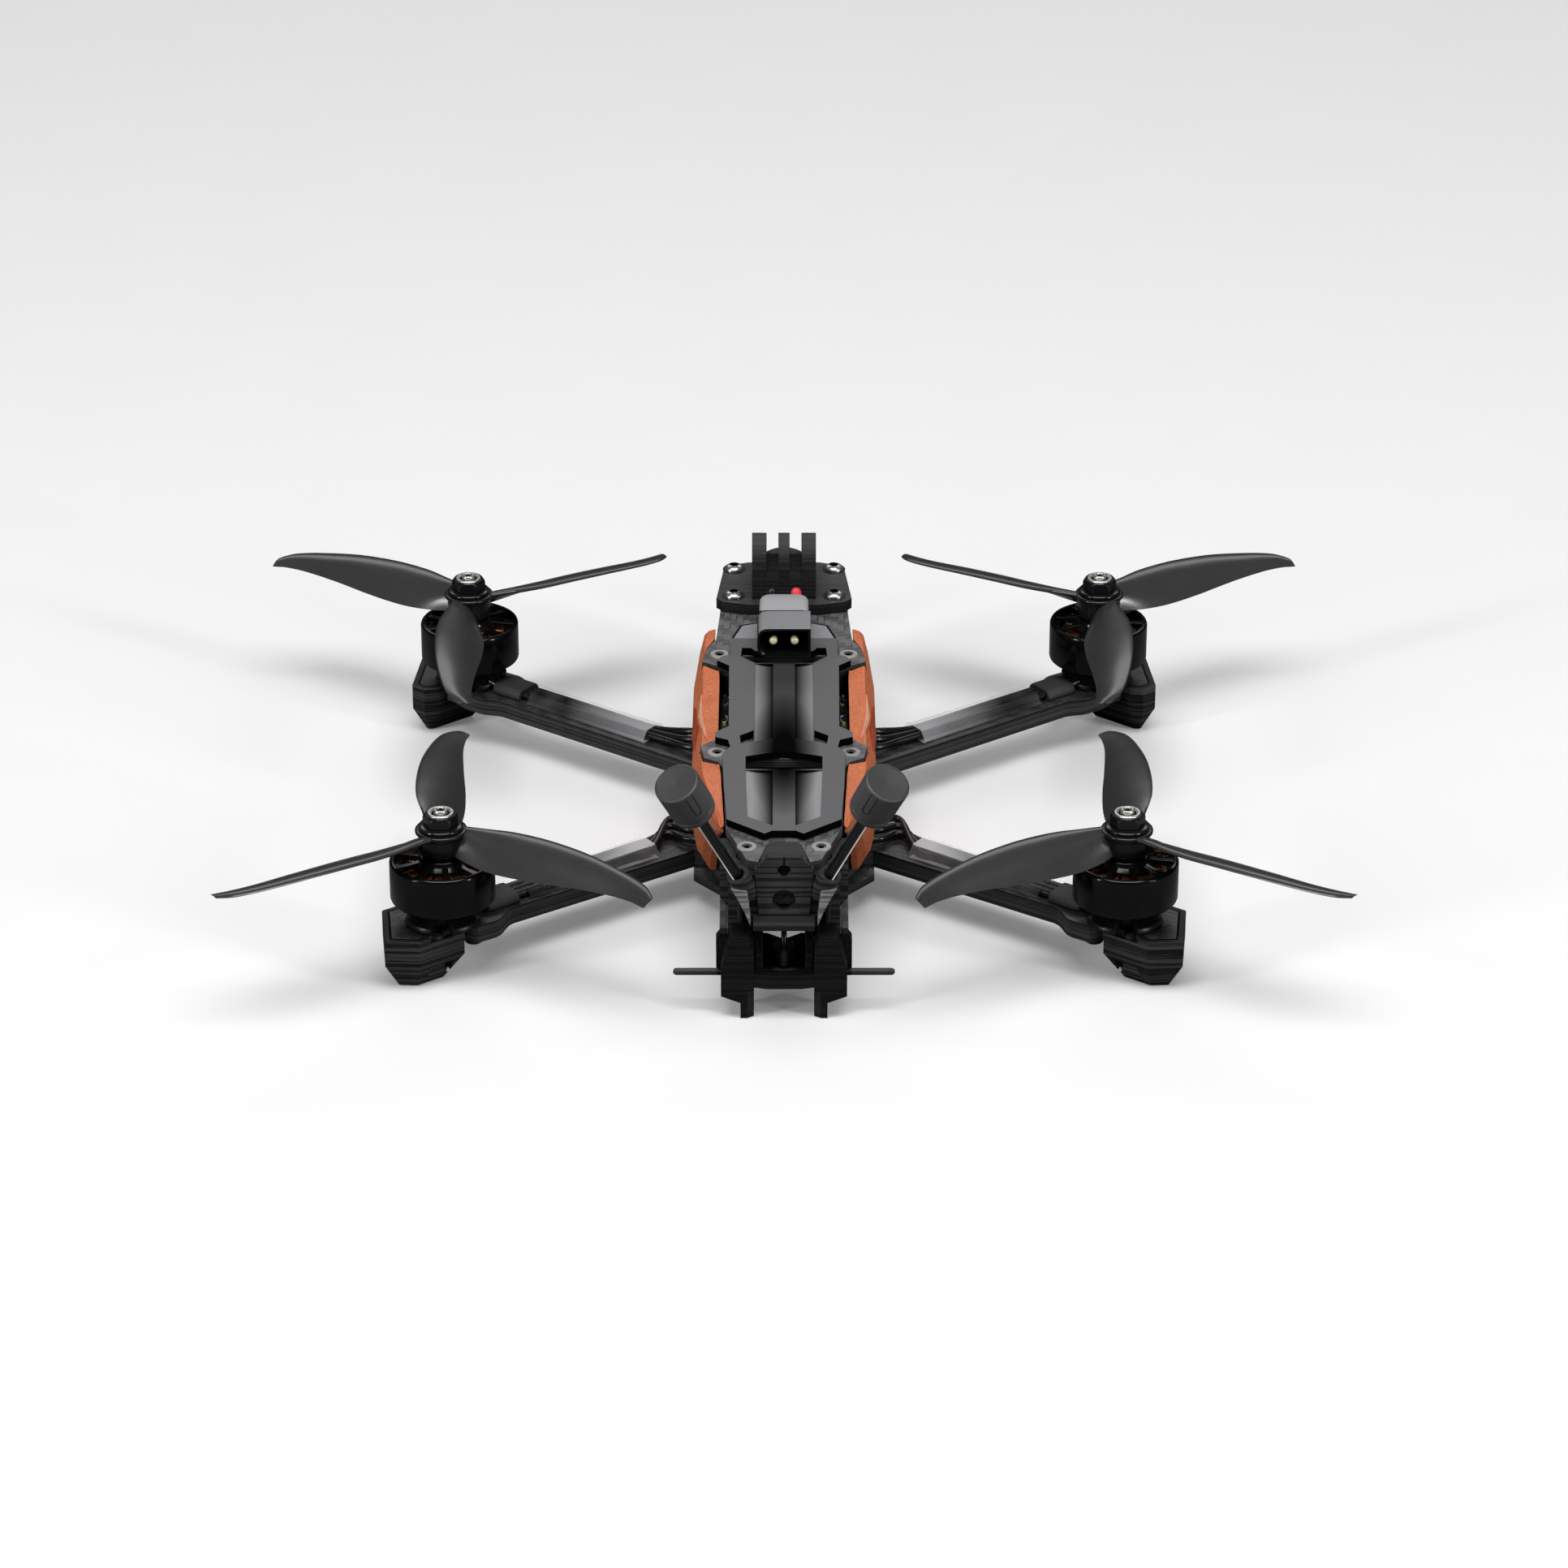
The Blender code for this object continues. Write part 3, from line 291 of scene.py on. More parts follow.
def plain(name, color, roughness, grain_mm=0.3, depth=0.01, spread=0.25, **values):
    """A moulded or machined surface: faint grain in its colour, roughness and height."""
    f = Finish(name, color, roughness, **values)
    grain, cloud = f.noise(grain_mm, 3.0), f.noise(grain_mm * 22, 3.0)
    darker, lighter = tuple(c * (1 - spread) for c in color), tuple(c * (1 + spread) for c in color)
    f.set("Base Color", f.blend(f.remap(cloud, 0.0, 1.0), darker, lighter))
    return f.grained(grain, roughness * 0.85, roughness * 1.2, depth, 0.6)


def pad_surface(name, tone, roughness, tray):
    """The pad, with its light and shade painted in: an even grey top, painted shade on its walls, and a
    painted shadow over its middle.
    """
    f = Finish(name, grey(tone), roughness)
    x, y, _ = f.axes()
    # Painted shadow: a dark oval over the middle, centred at y = -36 mm.
    shadow_wide, shadow_long, shadow_y = 8.5 * MM, 33 * MM, -36 * MM
    away = f.vector(f.times(x, 1.0 / shadow_wide), f.times(f.plus(y, -shadow_y), 1.0 / shadow_long), 0.0)
    length = f.node("ShaderNodeVectorMath", operation="LENGTH")
    f.link(away, length.inputs[0])
    painted_light = f.remap(length.outputs["Value"], 0.0, 1.0, 0.30, 1.15)
    painted_light = f.math("POWER", painted_light, 1.8)
    off_spine = f.math("ABSOLUTE", x)
    # On the trays, painted reflection: dark beside the spine, light out at the frame.
    if tray:
        painted_light = f.times(painted_light, f.remap(off_spine, 0.02, 1.0, 3.2 * MM, 8.4 * MM))
    else:
        # On the pad, the spine ahead of the rear row is painted darker, as shade.
        ahead = f.math("GREATER_THAN", y, -38 * MM)
        spine = f.times(f.math("LESS_THAN", off_spine, 3.0 * MM), ahead)
        painted_light = f.times(painted_light, f.rest(f.times(spine, 0.62)))
    # Sideways faces, the walls, are painted dark as shade.
    painted_light = f.times(painted_light, f.level(0.6, 0.8))
    grain = f.noise(0.2, 3.0)
    f.set("Base Color", f.blend(painted_light, grey(0.003), grey(tone)))
    f.set("Specular IOR Level", f.times(painted_light, 0.5))
    return f.grained(grain, roughness * 0.9, roughness * 1.1, 0.008, 0.5)


def moulded(name, top, side, roughness=0.5):
    """A satin moulding with its light painted in: faces that look up or down take the top tone, sideways
    faces the side tone, and the level faces are glossier.
    """
    f = Finish(name, grey(top), roughness)
    # Painted light: the tone and the gloss follow which way a face looks.
    f.set("Base Color", f.blend(f.level(0.25, 0.6), grey(side), grey(top)))
    f.set("Specular IOR Level", f.plus(0.15, f.times(f.level(0.25, 0.6), 0.35)))
    return f.grained(f.noise(0.22, 3.0), roughness * 0.85, roughness * 1.2, 0.012, 0.6)


def copper_windings():
    f = Finish("copper_windings", (0.62, 0.22, 0.09), 0.3, metallic=0.9)
    strand = f.math("SINE", f.times(f.axes()[2], math.tau / (WIRE_PITCH * MM)))
    tone = f.remap(strand, 0.0, 1.0, -1, 1)
    f.set("Base Color", f.blend(tone, (0.22, 0.06, 0.02), (0.85, 0.33, 0.14)))
    f.bump(strand, 0.12, 1.0)
    return f.material


def circuit_board():
    f = Finish("circuit_board", (0.01, 0.012, 0.016), 0.35, coat_weight=0.4)
    cells = f.node("ShaderNodeTexVoronoi", feature="DISTANCE_TO_EDGE")
    f.link(f.place, cells.inputs["Vector"])
    cells.inputs["Scale"].default_value = 420
    track = f.math("LESS_THAN", cells.outputs[0], 0.05)
    f.set("Base Color", f.blend(track, (0.008, 0.010, 0.014), (0.03, 0.036, 0.045)))
    f.bump(track, 0.03, 0.8)
    return f.material


def clear_sleeve():
    """A thin clear tube whose white is painted reflection: whiter towards the body and on its far side."""
    f = Finish("clear_sleeve", grey(0.88), 0.16, specular_ior_level=0.35)
    ripple = f.noise(9.0, 1.0)
    x, y, _ = f.axes()
    # Painted reflection: the white film follows the distance from the body and which way a face looks.
    gain = f.remap(y, 0.50, 0.42, -MM, MM)
    reach = f.remap(f.math("ABSOLUTE", x), 1.0, 0.0, 40 * MM, 62 * MM)
    normal = f.normal()
    near = f.math("MULTIPLY_ADD", reach, f.remap(y, 0.03, 0.20, -MM, MM), 0.02)
    far = f.math("MAXIMUM", near, f.remap(normal[1], 0.0, 0.55, -0.1, 0.25))
    flat = f.remap(normal[2], 0.0, 1.0, 0.85, 0.97)
    cloud = f.either(flat, f.times(gain, reach), far)
    f.set("Alpha", f.plus(cloud, f.remap(ripple, 0.0, 0.05)))
    f.bump(ripple, 0.12, 0.3)
    return f.material


def stalk_gloss():
    """Polished black with a painted reflection: a bright line, as of a white wall mirrored, along its outer
    side, which also glows.
    """
    f = Finish("stalk_black", grey(0.004), 0.14, specular_ior_level=0.6)
    # Painted reflection: a white line that glows, on faces that look outward.
    outward = f.times(f.math("SIGN", f.axes()[0]), f.normal()[0])
    rise, fall = f.remap(outward, 0.0, 1.0, 0.35, 0.60), f.remap(outward, 1.0, 0.0, 0.80, 0.95)
    painted_reflection = f.times(rise, fall, f.noise(14.0, 1.0))
    f.set("Base Color", f.blend(painted_reflection, grey(0.004), grey(0.9)))
    f.set("Emission Strength", f.times(painted_reflection, 0.9))
    f.bump(f.noise(0.5, 2.0), 0.003, 0.4)
    return f.material


def lens_glass():
    f = Finish("lens_glass", (0.004, 0.006, 0.02), 0.04, coat_weight=1.0)
    layer = f.node("ShaderNodeLayerWeight")
    layer.inputs["Blend"].default_value = 0.35
    f.set("Base Color", f.blend(layer.outputs["Facing"], (0.05, 0.01, 0.09), (0.0, 0.05, 0.06)))
    f.bump(f.noise(4.0, 1.0), 0.004, 0.3)
    return f.material


MAT = {
    "carbon": carbon("carbon_plate"),
    "print": printed("black_print", 0.3, 0.004, 0.065, 0.010),
    "print_fine": printed("antenna_print", 0.26, 0.012, 0.060, 0.022),
    "print_top": printed("mount_print", 0.26, 0.002, 0.018, 0.040),
    "print_dark": printed("bumper_print", 0.3, 0.0005, 0.009, 0.002),
    "print_light": printed("gusset_print", 0.26, 0.15, 0.36, 0.28),
    "orange": orange_paint(),
    # Lit and shaded copies of the orange for the panel facets: a painted highlight and painted shade.
    "orange_light": plain("orange_painted_highlight", (0.98, 0.50, 0.34), 0.25, 0.42, 0.02, 0.15),
    "orange_deep": plain("orange_shadow", (0.36, 0.060, 0.018), 0.4, 0.42, 0.03, 0.3),
    "bell": plain("bell_gloss", (0.003, 0.003, 0.0035), 0.14, 0.5, 0.002, specular_ior_level=0.35),
    "base": plain("motor_base_black", (0.012, 0.012, 0.014), 0.3, 0.3, 0.006, metallic=0.4),
    "copper": copper_windings(),
    "magnet": plain("magnet_nickel", (0.55, 0.54, 0.52), 0.25, 0.4, 0.004, metallic=1.0),
    "laminate": plain("stator_laminate", (0.05, 0.05, 0.055), 0.4, 0.2, 0.02, metallic=0.6),
    "steel": plain("bright_steel", (0.72, 0.71, 0.68), 0.3, 0.35, 0.002, 0.06, metallic=1.0),
    "washer": plain("countersunk_steel", (0.40, 0.39, 0.37), 0.4, 0.3, 0.006, 0.12, metallic=0.45),
    "nut": plain("black_nut", (0.006, 0.006, 0.007), 0.16, 0.5, 0.003, specular_ior_level=0.6),
    "prop": plain("prop_plastic", (0.038, 0.038, 0.039), 0.22, 0.45, 0.002, 0.08, specular_ior_level=0.8),
    "hub": plain("prop_hub_plastic", (0.010, 0.010, 0.011), 0.2, 0.45, 0.004, 0.10),
    # The pad and its trays carry painted shadow, painted shade and painted reflection.
    "pad": pad_surface("pad_rubber", 0.115, 0.6, False),
    "tray": pad_surface("pad_gloss", 0.29, 0.34, True),
    # The plug, its cover and the antenna caps carry painted light: one tone on level faces, another on
    # their sides.
    "plug": moulded("plug_plastic", 0.225, 0.003),
    "cover": moulded("plug_cover_plastic", 0.36, 0.02),
    # Matte near-black, painted shade: inside sockets, bores and grooves, in the plug's mouth and in the rim
    # round the pad's nose.
    "socket": plain("recess_shade_black", (0.002, 0.002, 0.0025), 0.7, 0.3, 0.01, specular_ior_level=0.1),
    "gold": plain("gold_pin", (0.98, 0.88, 0.58), 0.25, 0.4, 0.004, 0.1, metallic=0.2),
    "red_wire": plain("red_wire", (0.85, 0.06, 0.07), 0.3, 0.5, 0.01, 0.12),
    "black_wire": plain("black_wire", (0.006, 0.006, 0.0065), 0.24, 0.5, 0.008, 0.2),
    "shrink": plain("heat_shrink", (0.026, 0.026, 0.027), 0.6, 0.6, 0.03, 0.25),
    "sleeve": clear_sleeve(),
    "antenna_cap": moulded("antenna_cap_black", 0.052, 0.095, 0.42),
    "antenna": plain("antenna_black", (0.040, 0.040, 0.042), 0.42, 0.22, 0.010, 0.12),
    "stalk": stalk_gloss(),
    "board": circuit_board(),
    "chip": plain("chip_black", (0.005, 0.005, 0.006), 0.45, 0.2, 0.006, 0.3),
    "tin": plain("tin_plate", (0.62, 0.62, 0.60), 0.3, 0.3, 0.008, 0.15, metallic=1.0),
    "ivory": plain("ivory_socket", (0.70, 0.66, 0.55), 0.5, 0.3, 0.01, 0.1),
    "yellow": plain("tantalum_yellow", (0.75, 0.55, 0.08), 0.4, 0.3, 0.01, 0.1),
    "heat_sink": plain("heat_sink", (0.33, 0.34, 0.36), 0.38, 0.25, 0.01, 0.1, metallic=1.0),
    "camera": plain("camera_case", (0.015, 0.015, 0.016), 0.42, 0.2, 0.012, 0.2),
    "cheek": plain("cheek_plate", (0.014, 0.014, 0.016), 0.32, 0.3, 0.006, 0.15, metallic=0.6),
    "glass": lens_glass(),
}
for corner, (sx, sy) in CORNERS.items():
    MAT["carbon_" + corner] = carbon("carbon_" + corner, -sx * sy * ARM_ANGLE, 0.016, 0.034,
                                     node_box("arm_" + corner)[1].z)


# ---- Mesh helpers ----
def placed(name, data):
    """A new object in the scene."""
    made = bpy.data.objects.new(name, data)
    bpy.context.scene.collection.objects.link(made)
    return made


def mesh_from(name, bm):
    """Turns a bmesh into a mesh, and lets the bmesh go."""
    mesh = bpy.data.meshes.new(name)
    bm.to_mesh(mesh)
    bm.free()
    return mesh


def shade(mesh, angle):
    mesh.shade_smooth()
    mesh.set_sharp_from_angle(angle=math.radians(angle))


def painted(name, bm, material):
    """An object in metres from a bmesh in millimetres, with its faces pointing out."""
    bmesh.ops.recalc_face_normals(bm, faces=bm.faces)
    mesh = mesh_from(name, moved(bm, Matrix.Scale(MM, 4)))
    mesh.materials.append(material)
    return placed(name, mesh)


def finished(name, bm, material, body="frame", bevel=0.0, angle=32):
    """Makes a shaded piece that rides on a CAD body from a bmesh in millimetres."""
    bmesh.ops.remove_doubles(bm, verts=bm.verts, dist=1e-4)
    made = painted(name, bm, MAT[material])
    shade(made.data, angle)
    if bevel:
        add_bevel(made, bevel, 2, angle)
    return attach(made, body)


def add_bevel(piece, width, segments, angle):
    bevel = piece.modifiers.new("bevel", "BEVEL")
    bevel.width = width * MM
    bevel.segments = segments
    bevel.limit_method = "ANGLE"
    bevel.angle_limit = math.radians(angle)
    bevel.harden_normals = True


def dress(node, material, bevel, segments=2, angle=32):
    """Gives a CAD node its material, smooth shading and softened edges; its points stay put."""
    piece = frame["nodes"][node]
    piece.data.materials.clear()
    piece.data.materials.append(MAT[material])
    for name in ("custom_normal", "sharp_face", "sharp_edge"):
        if name in piece.data.attributes:
            piece.data.attributes.remove(piece.data.attributes[name])
    piece.data.shade_smooth()
    weld = piece.modifiers.new("weld", "WELD")
    weld.merge_threshold = 1e-5
    flat = piece.modifiers.new("flat", "DECIMATE")
    flat.decimate_type = "DISSOLVE"
    flat.angle_limit = math.radians(0.6)
    add_bevel(piece, bevel, segments, angle)
    return piece


def rings_mesh(rings, closed_ends=True):
    """Skins rings of equal length."""
    bm = bmesh.new()
    rows = [[bm.verts.new(p) for p in ring] for ring in rings]
    count = len(rows[0])
    for lower, upper in zip(rows, rows[1:]):
        for k in range(count):
            after = (k + 1) % count
            bm.faces.new((lower[k], lower[after], upper[after], upper[k]))
    if closed_ends:
        bm.faces.new(rows[0])
        bm.faces.new(rows[-1])
    return bm


def lathe(profile, steps=64, centre=(0, 0)):
    """A closed (radius, z) profile turned about a vertical axis."""
    x, y = centre
    angles = [k * math.tau / steps for k in range(steps)]
    rings = [[(x + r * math.cos(a), y + r * math.sin(a), z) for a in angles] for r, z in profile]
    rings.append(rings[0])
    return rings_mesh(rings, closed_ends=False)


def rounded(profile, radius=0.3, count=4):
    """Rounds every corner of a closed (a, b) outline."""
    result = []
    total = len(profile)
    for k, point in enumerate(profile):
        p = Vector(point)
        a, b = Vector(profile[k - 1]) - p, Vector(profile[(k + 1) % total]) - p
        reach = min(radius, a.length * 0.45, b.length * 0.45)
        start, end = p + a.normalized() * reach, p + b.normalized() * reach
        for step in range(count + 1):
            t = step / count
            result.append(tuple(start * (1 - t) ** 2 + p * 2 * t * (1 - t) + end * t**2))
    return result


def mirrored(points):
    """One half of an outline and its mirror image across x = 0."""
    return points + [(-x, y) for x, y in reversed(points)]


AXIS_TURN = {
    "Z": Matrix.Identity(3),
    "Y": Matrix(((1, 0, 0), (0, 0, 1), (0, 1, 0))),
    "X": Matrix(((0, 0, 1), (1, 0, 0), (0, 1, 0))),
}


def extruded(outline, low, high, axis="Z"):
    """An outline, (x, y), (x, z) or (y, z), carried along the axis Z, Y or X."""
    turn = AXIS_TURN[axis]
    return rings_mesh([[turn @ Vector((a, b, c)) for a, b in outline] for c in (low, high)])


def rectangle(a0, b0, a1, b1):
    return [(a0, b0), (a1, b0), (a1, b1), (a0, b1)]


def block(low, high):
    return extruded(rectangle(*low[:2], *high[:2]), low[2], high[2])


def merged(*meshes):
    """One bmesh that holds several."""
    whole = bmesh.new()
    for part in meshes:
        spare = mesh_from("spare", part)
        whole.from_mesh(spare)
        bpy.data.meshes.remove(spare)
    return whole


def moved(bm, matrix):
    bmesh.ops.transform(bm, matrix=matrix, verts=bm.verts)
    return bm


def smooth_path(points, per=8):
    """A Catmull-Rom path through the points."""
    pts = [Vector(p) for p in points]
    pts = [pts[0] * 2 - pts[1], *pts, pts[-1] * 2 - pts[-2]]
    path = []
    for k in range(1, len(pts) - 2):
        a, b, c, d = pts[k - 1 : k + 3]
        for step in range(per):
            t = step / per
            bend = (2 * b) + (c - a) * t + (2 * a - 5 * b + 4 * c - d) * t * t
            path.append(0.5 * (bend + (3 * b - a - 3 * c + d) * t**3))
    path.append(pts[-2])
    return path


def swept(path, radius, sides=14):
    """A round rod along a path; radius is a number or a list, one for each point."""
    path = [Vector(p) for p in path]
    radii = radius if isinstance(radius, list) else [radius] * len(path)
    rings = []
    side = None
    for k, point in enumerate(path):
        ahead = (path[min(k + 1, len(path) - 1)] - path[max(k - 1, 0)]).normalized()
        if side is None:
            side = ahead.orthogonal().normalized()
        side = (side - ahead * side.dot(ahead)).normalized()
        up = ahead.cross(side)
        turns = [j * math.tau / sides for j in range(sides)]
        rings.append([point + (side * math.cos(t) + up * math.sin(t)) * radii[k] for t in turns])
    return rings_mesh(rings)


def carve(piece, *cutters, inside=None):
    """Cuts bmeshes in millimetres out of a piece, bakes the result and paints the cut faces."""
    paint = MAT[inside] if inside else piece.data.materials[0]
    for k, bm in enumerate(cutters):
        boolean = piece.modifiers.new("cut", "BOOLEAN")
        boolean.operation = "DIFFERENCE"
        boolean.material_mode = "TRANSFER"
        boolean.object = painted(f"{piece.name}_cut_{k}", bm, paint)
    bpy.context.view_layer.update()
    graph = bpy.context.evaluated_depsgraph_get()
    baked = bpy.data.meshes.new_from_object(piece.evaluated_get(graph), depsgraph=graph)
    for modifier in list(piece.modifiers):
        if modifier.type == "BOOLEAN":
            bpy.data.objects.remove(modifier.object)
        piece.modifiers.remove(modifier)
    piece.data = baked
    shade(baked, 32)
    return piece


def motor_axis(corner):
    centre = node_centre("motor_bell_" + corner)
    return centre.x, centre.y


def spun(centre, angle):
    """A turn about Z, then a move from the origin to the centre."""
    return Matrix.Translation((*centre, 0)) @ Matrix.Rotation(angle, 4, "Z")


def arm_point(corner, u, v):
    """A point u outward along a corner's arm from the motor axis, and v to its outer side."""
    sx, sy = CORNERS[corner]
    x, y = motor_axis(corner)
    c, s = math.cos(ARM_ANGLE), math.sin(ARM_ANGLE)
    return (x + sx * (u * c - v * s), y + sy * (u * s + v * c))


def arm_rings(corner, stations, outline, radius):
    """Rings across a corner's arm, one for each (distance outward, half width, height)."""
    top = node_box("arm_" + corner)[1].z
    rings = []
    for u, half, height in stations:
        shape = rounded(outline(half, height), radius, 3)
        rings.append([(*arm_point(corner, u, v), top + z) for v, z in shape])
    return rings


# ---- Plates, arms and printed parts ----
def dress_frame():
    for node in ("bottom_plate", "middle_plate", "top_plate"):
        dress(node, "carbon", 0.15)
    for corner in CORNERS:
        dress("arm_" + corner, "carbon_" + corner, 0.2)
        dress("arm_guard_" + corner, "print", 0.25)
    for side in SIDES:
        dress("side_panel_" + side, "orange", 0.35, 3, 12)
        dress("camera_plate_" + side, "cheek", 0.2)
    dress("action_camera_mount", "print_top", 0.2)
    dress("antenna_mount", "print_fine", 0.2)
    dress("rear_bumper", "print_dark", 0.2)
    dress("battery_pad", "pad", 0.18)


def build_panel_facets():
    """Two long embossed facets on the shoulder of each side panel: the light one a painted highlight, the
    deep one painted shade.
    """
    facets = {
        "light": [(22.9, 9.5, 33.3), (23.6, -1.5, 31.9), (22.9, -10.5, 33.4), (21.2, -20.5, 34.7),
                  (22.7, -5.0, 33.9)],
        "deep": [(24.9, 9.0, 29.8), (24.1, -6.0, 31.0), (24.6, -18.0, 29.8), (25.4, -6.0, 27.2)],
    }
    for side_name, side in SIDES.items():
        for tone, points in facets.items():
            outer = [(side * x, y, z) for x, y, z in points]
            inner = [(side * (x - 0.9), y, z - 0.9) for x, y, z in points]
            facet = rings_mesh([inner, outer])
            finished(f"panel_facet_{tone}_{side_name}", facet, "orange_" + tone, bevel=0.08)


# ---- Fasteners ----
def hex_outline(x, y, radius, turn):
    angles = [turn + k * math.tau / 6 for k in range(6)]
    return [(x + radius * math.cos(a), y + radius * math.sin(a)) for a in angles]


def countersunk_screw(name, x, y, top):
    """A flat head with a dished middle and a hex socket, let into a plate."""
    radius, socket = 2.65, 0.85
    profile = [(0.001, top), (radius - 0.15, top), (radius, top - 0.2), (radius, top - 0.5),
               (0.001, top - 1.6)]
    head = finished(name, lathe(profile, 40, (x, y)), "washer")
    # The dish is painted darker and the hex socket black, as shade in the hollows.
    dish = [(0.001, top - 0.3), (1.25, top - 0.3), (1.45, top + 0.2), (0.001, top + 0.2)]
    carve(head, lathe(dish, 32, (x, y)), inside="antenna_cap")
    carve(head, extruded(hex_outline(x, y, socket, 0.4), top - 1.2, top + 1), inside="socket")


def button_screw(name, x, y, seat, radius=2.75, height=1.75, socket=1.45, material="steel"):
    """A domed head with a hex socket."""
    angles = [math.radians(k * 10) for k in range(10)]
    dome = [(radius * math.cos(a), seat + 0.25 + (height - 0.25) * math.sin(a)) for a in angles]
    profile = [(0.001, seat), (radius, seat), *dome[:-1], (0.001, dome[-1][1])]
    head = finished(name, lathe(profile, 40, (x, y)), material)
    top = seat + height
    # The hex socket is painted black, as shade.
    carve(head, extruded(hex_outline(x, y, socket, 0.3), top - 1.1, top + 1), inside="socket")
    return head


def under_screw(name, x, y, seat, radius, height, socket, material):
    """A domed head that faces down."""
    head = button_screw(name, 0, 0, 0, radius, height, socket, material)
    place = Matrix.Translation((x * MM, y * MM, seat * MM))
    head.matrix_world = place @ Matrix.Rotation(math.pi, 4, "X")


def build_posts():
    """Threaded standoffs with a screw at each end, in place of the CAD's one-piece posts."""
    plate_low, plate_top = (corner.z for corner in node_box("top_plate"))
    middle_top = node_box("middle_plate")[1].z
    for place in ("front", "middle", "rear"):
        for side in SIDES:
            end = f"{place}_{side}"
            low, high = node_box("post_" + end)
            x, y = (low.x + high.x) / 2, (low.y + high.y) / 2
            z0, z1 = middle_top + 0.05, plate_low - 0.05
            profile = rounded(rectangle(1.3, z1, 2.5, z0), 0.25)
            post = finished("standoff_" + end, lathe(profile, 36, (x, y)), "base")
            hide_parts("post_" + end)
            countersunk_screw("top_screw_" + end, x, y, plate_top + 0.25)
            under_screw("under_screw_" + end, x, y, low.z + 1.7, 2.8, 1.7, 1.45, "steel")


def build_mount_screws():
    seat = node_box("top_plate")[1].z + 3.3
    ring = rectangle(2.8, seat, 3.3, seat + 0.12)
    for side_name, side in SIDES.items():
        x = side * 14.25
        for k, y in enumerate((62.2, 80.3)):
            button_screw(f"mount_screw_{side_name}_{k}", x, y, seat)
            finished(f"mount_washer_{side_name}_{k}", lathe(ring, 40, (x, y)), "base")


# ---- Motors ----
SPOKES, MAGNETS, TEETH, FOOT_WINDOWS = 9, 14, 12, 4


def on_rotor(corner, name, bm, material, bevel=0.0, angle=32):
    """A piece that spins with a corner's motor."""
    return finished(f"{name}_{corner}", bm, material, "rotor_" + corner, bevel, angle)


def turned(corner, name, profile, steps, material, angle=32):
    """A profile turned about a corner's motor axis, which spins with the motor."""
    return on_rotor(corner, name, lathe(profile, steps, motor_axis(corner)), material, angle=angle)


def build_motor(corner):
    c = motor_axis(corner)
    can = [
        (13.95, 15.0), (13.95, 24.9), (13.75, 25.4), (13.2, 25.75), (12.75, 25.7), (12.5, 25.3),
        (12.4, 24.0), (12.4, 15.0), (12.6, 14.5), (13.5, 14.4), (13.8, 14.6),
    ]
    bell = turned(corner, "bell_can", can, 96, "bell", 50)
    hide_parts("motor_bell_" + corner)
    hub = [(1.6, 26.9), (5.7, 26.9), (6.2, 25.9), (7.6, 24.6), (7.4, 23.4), (4.4, 22.8), (1.6, 22.8)]
    turned(corner, "bell_hub", rounded(hub, 0.4), 64, "bell", 50)
    spokes = []
    for k in range(SPOKES):
        turn = Matrix.Rotation(k * math.tau / SPOKES, 3, "Z")
        rings = []
        for r, half, z0, z1 in ((5.6, 1.15, 23.9, 25.9), (9.0, 0.85, 23.9, 25.3), (13.0, 1.3, 23.7, 25.2)):
            corners = ((-half, z0), (half, z0), (half * 0.8, z1), (-half * 0.8, z1))
            rings.append([turn @ Vector((r, a, z)) + Vector((*c, 0)) for a, z in corners])
        spokes.append(rings_mesh(rings))
    on_rotor(corner, "bell_spokes", merged(*spokes), "bell", 0.18)
    magnets = []
    for k in range(MAGNETS):
        turn = spun(c, (k + 0.5) * math.tau / MAGNETS)
        magnets.append(moved(block((11.55, -2.3, 15.6), (12.35, 2.3, 23.2)), turn))
    on_rotor(corner, "magnets", merged(*magnets), "magnet", 0.15)


def build_shaft(corner):
    top = node_box("motor_bell_" + corner)[1].z
    shaft = [(1.05, top - 2.4), (1.05, top - 1.1), (1.25, top - 0.85), (1.6, top - 0.85),
             (1.85, top - 1.2), (1.85, 36.0), (2.5, 35.6), (2.5, 10.0), (0.6, 10.0), (0.6, top - 2.6)]
    turned(corner, "motor_shaft", rounded(shaft, 0.12, 2), 40, "steel", 40)
    # The bore and the groove are painted black, as shade.
    turned(corner, "shaft_bore", rectangle(0.001, top - 1.5, 1.15, top - 3.0), 28, "socket")
    turned(corner, "shaft_groove", rectangle(1.8, 38.9, 2.5, 37.0), 40, "socket")


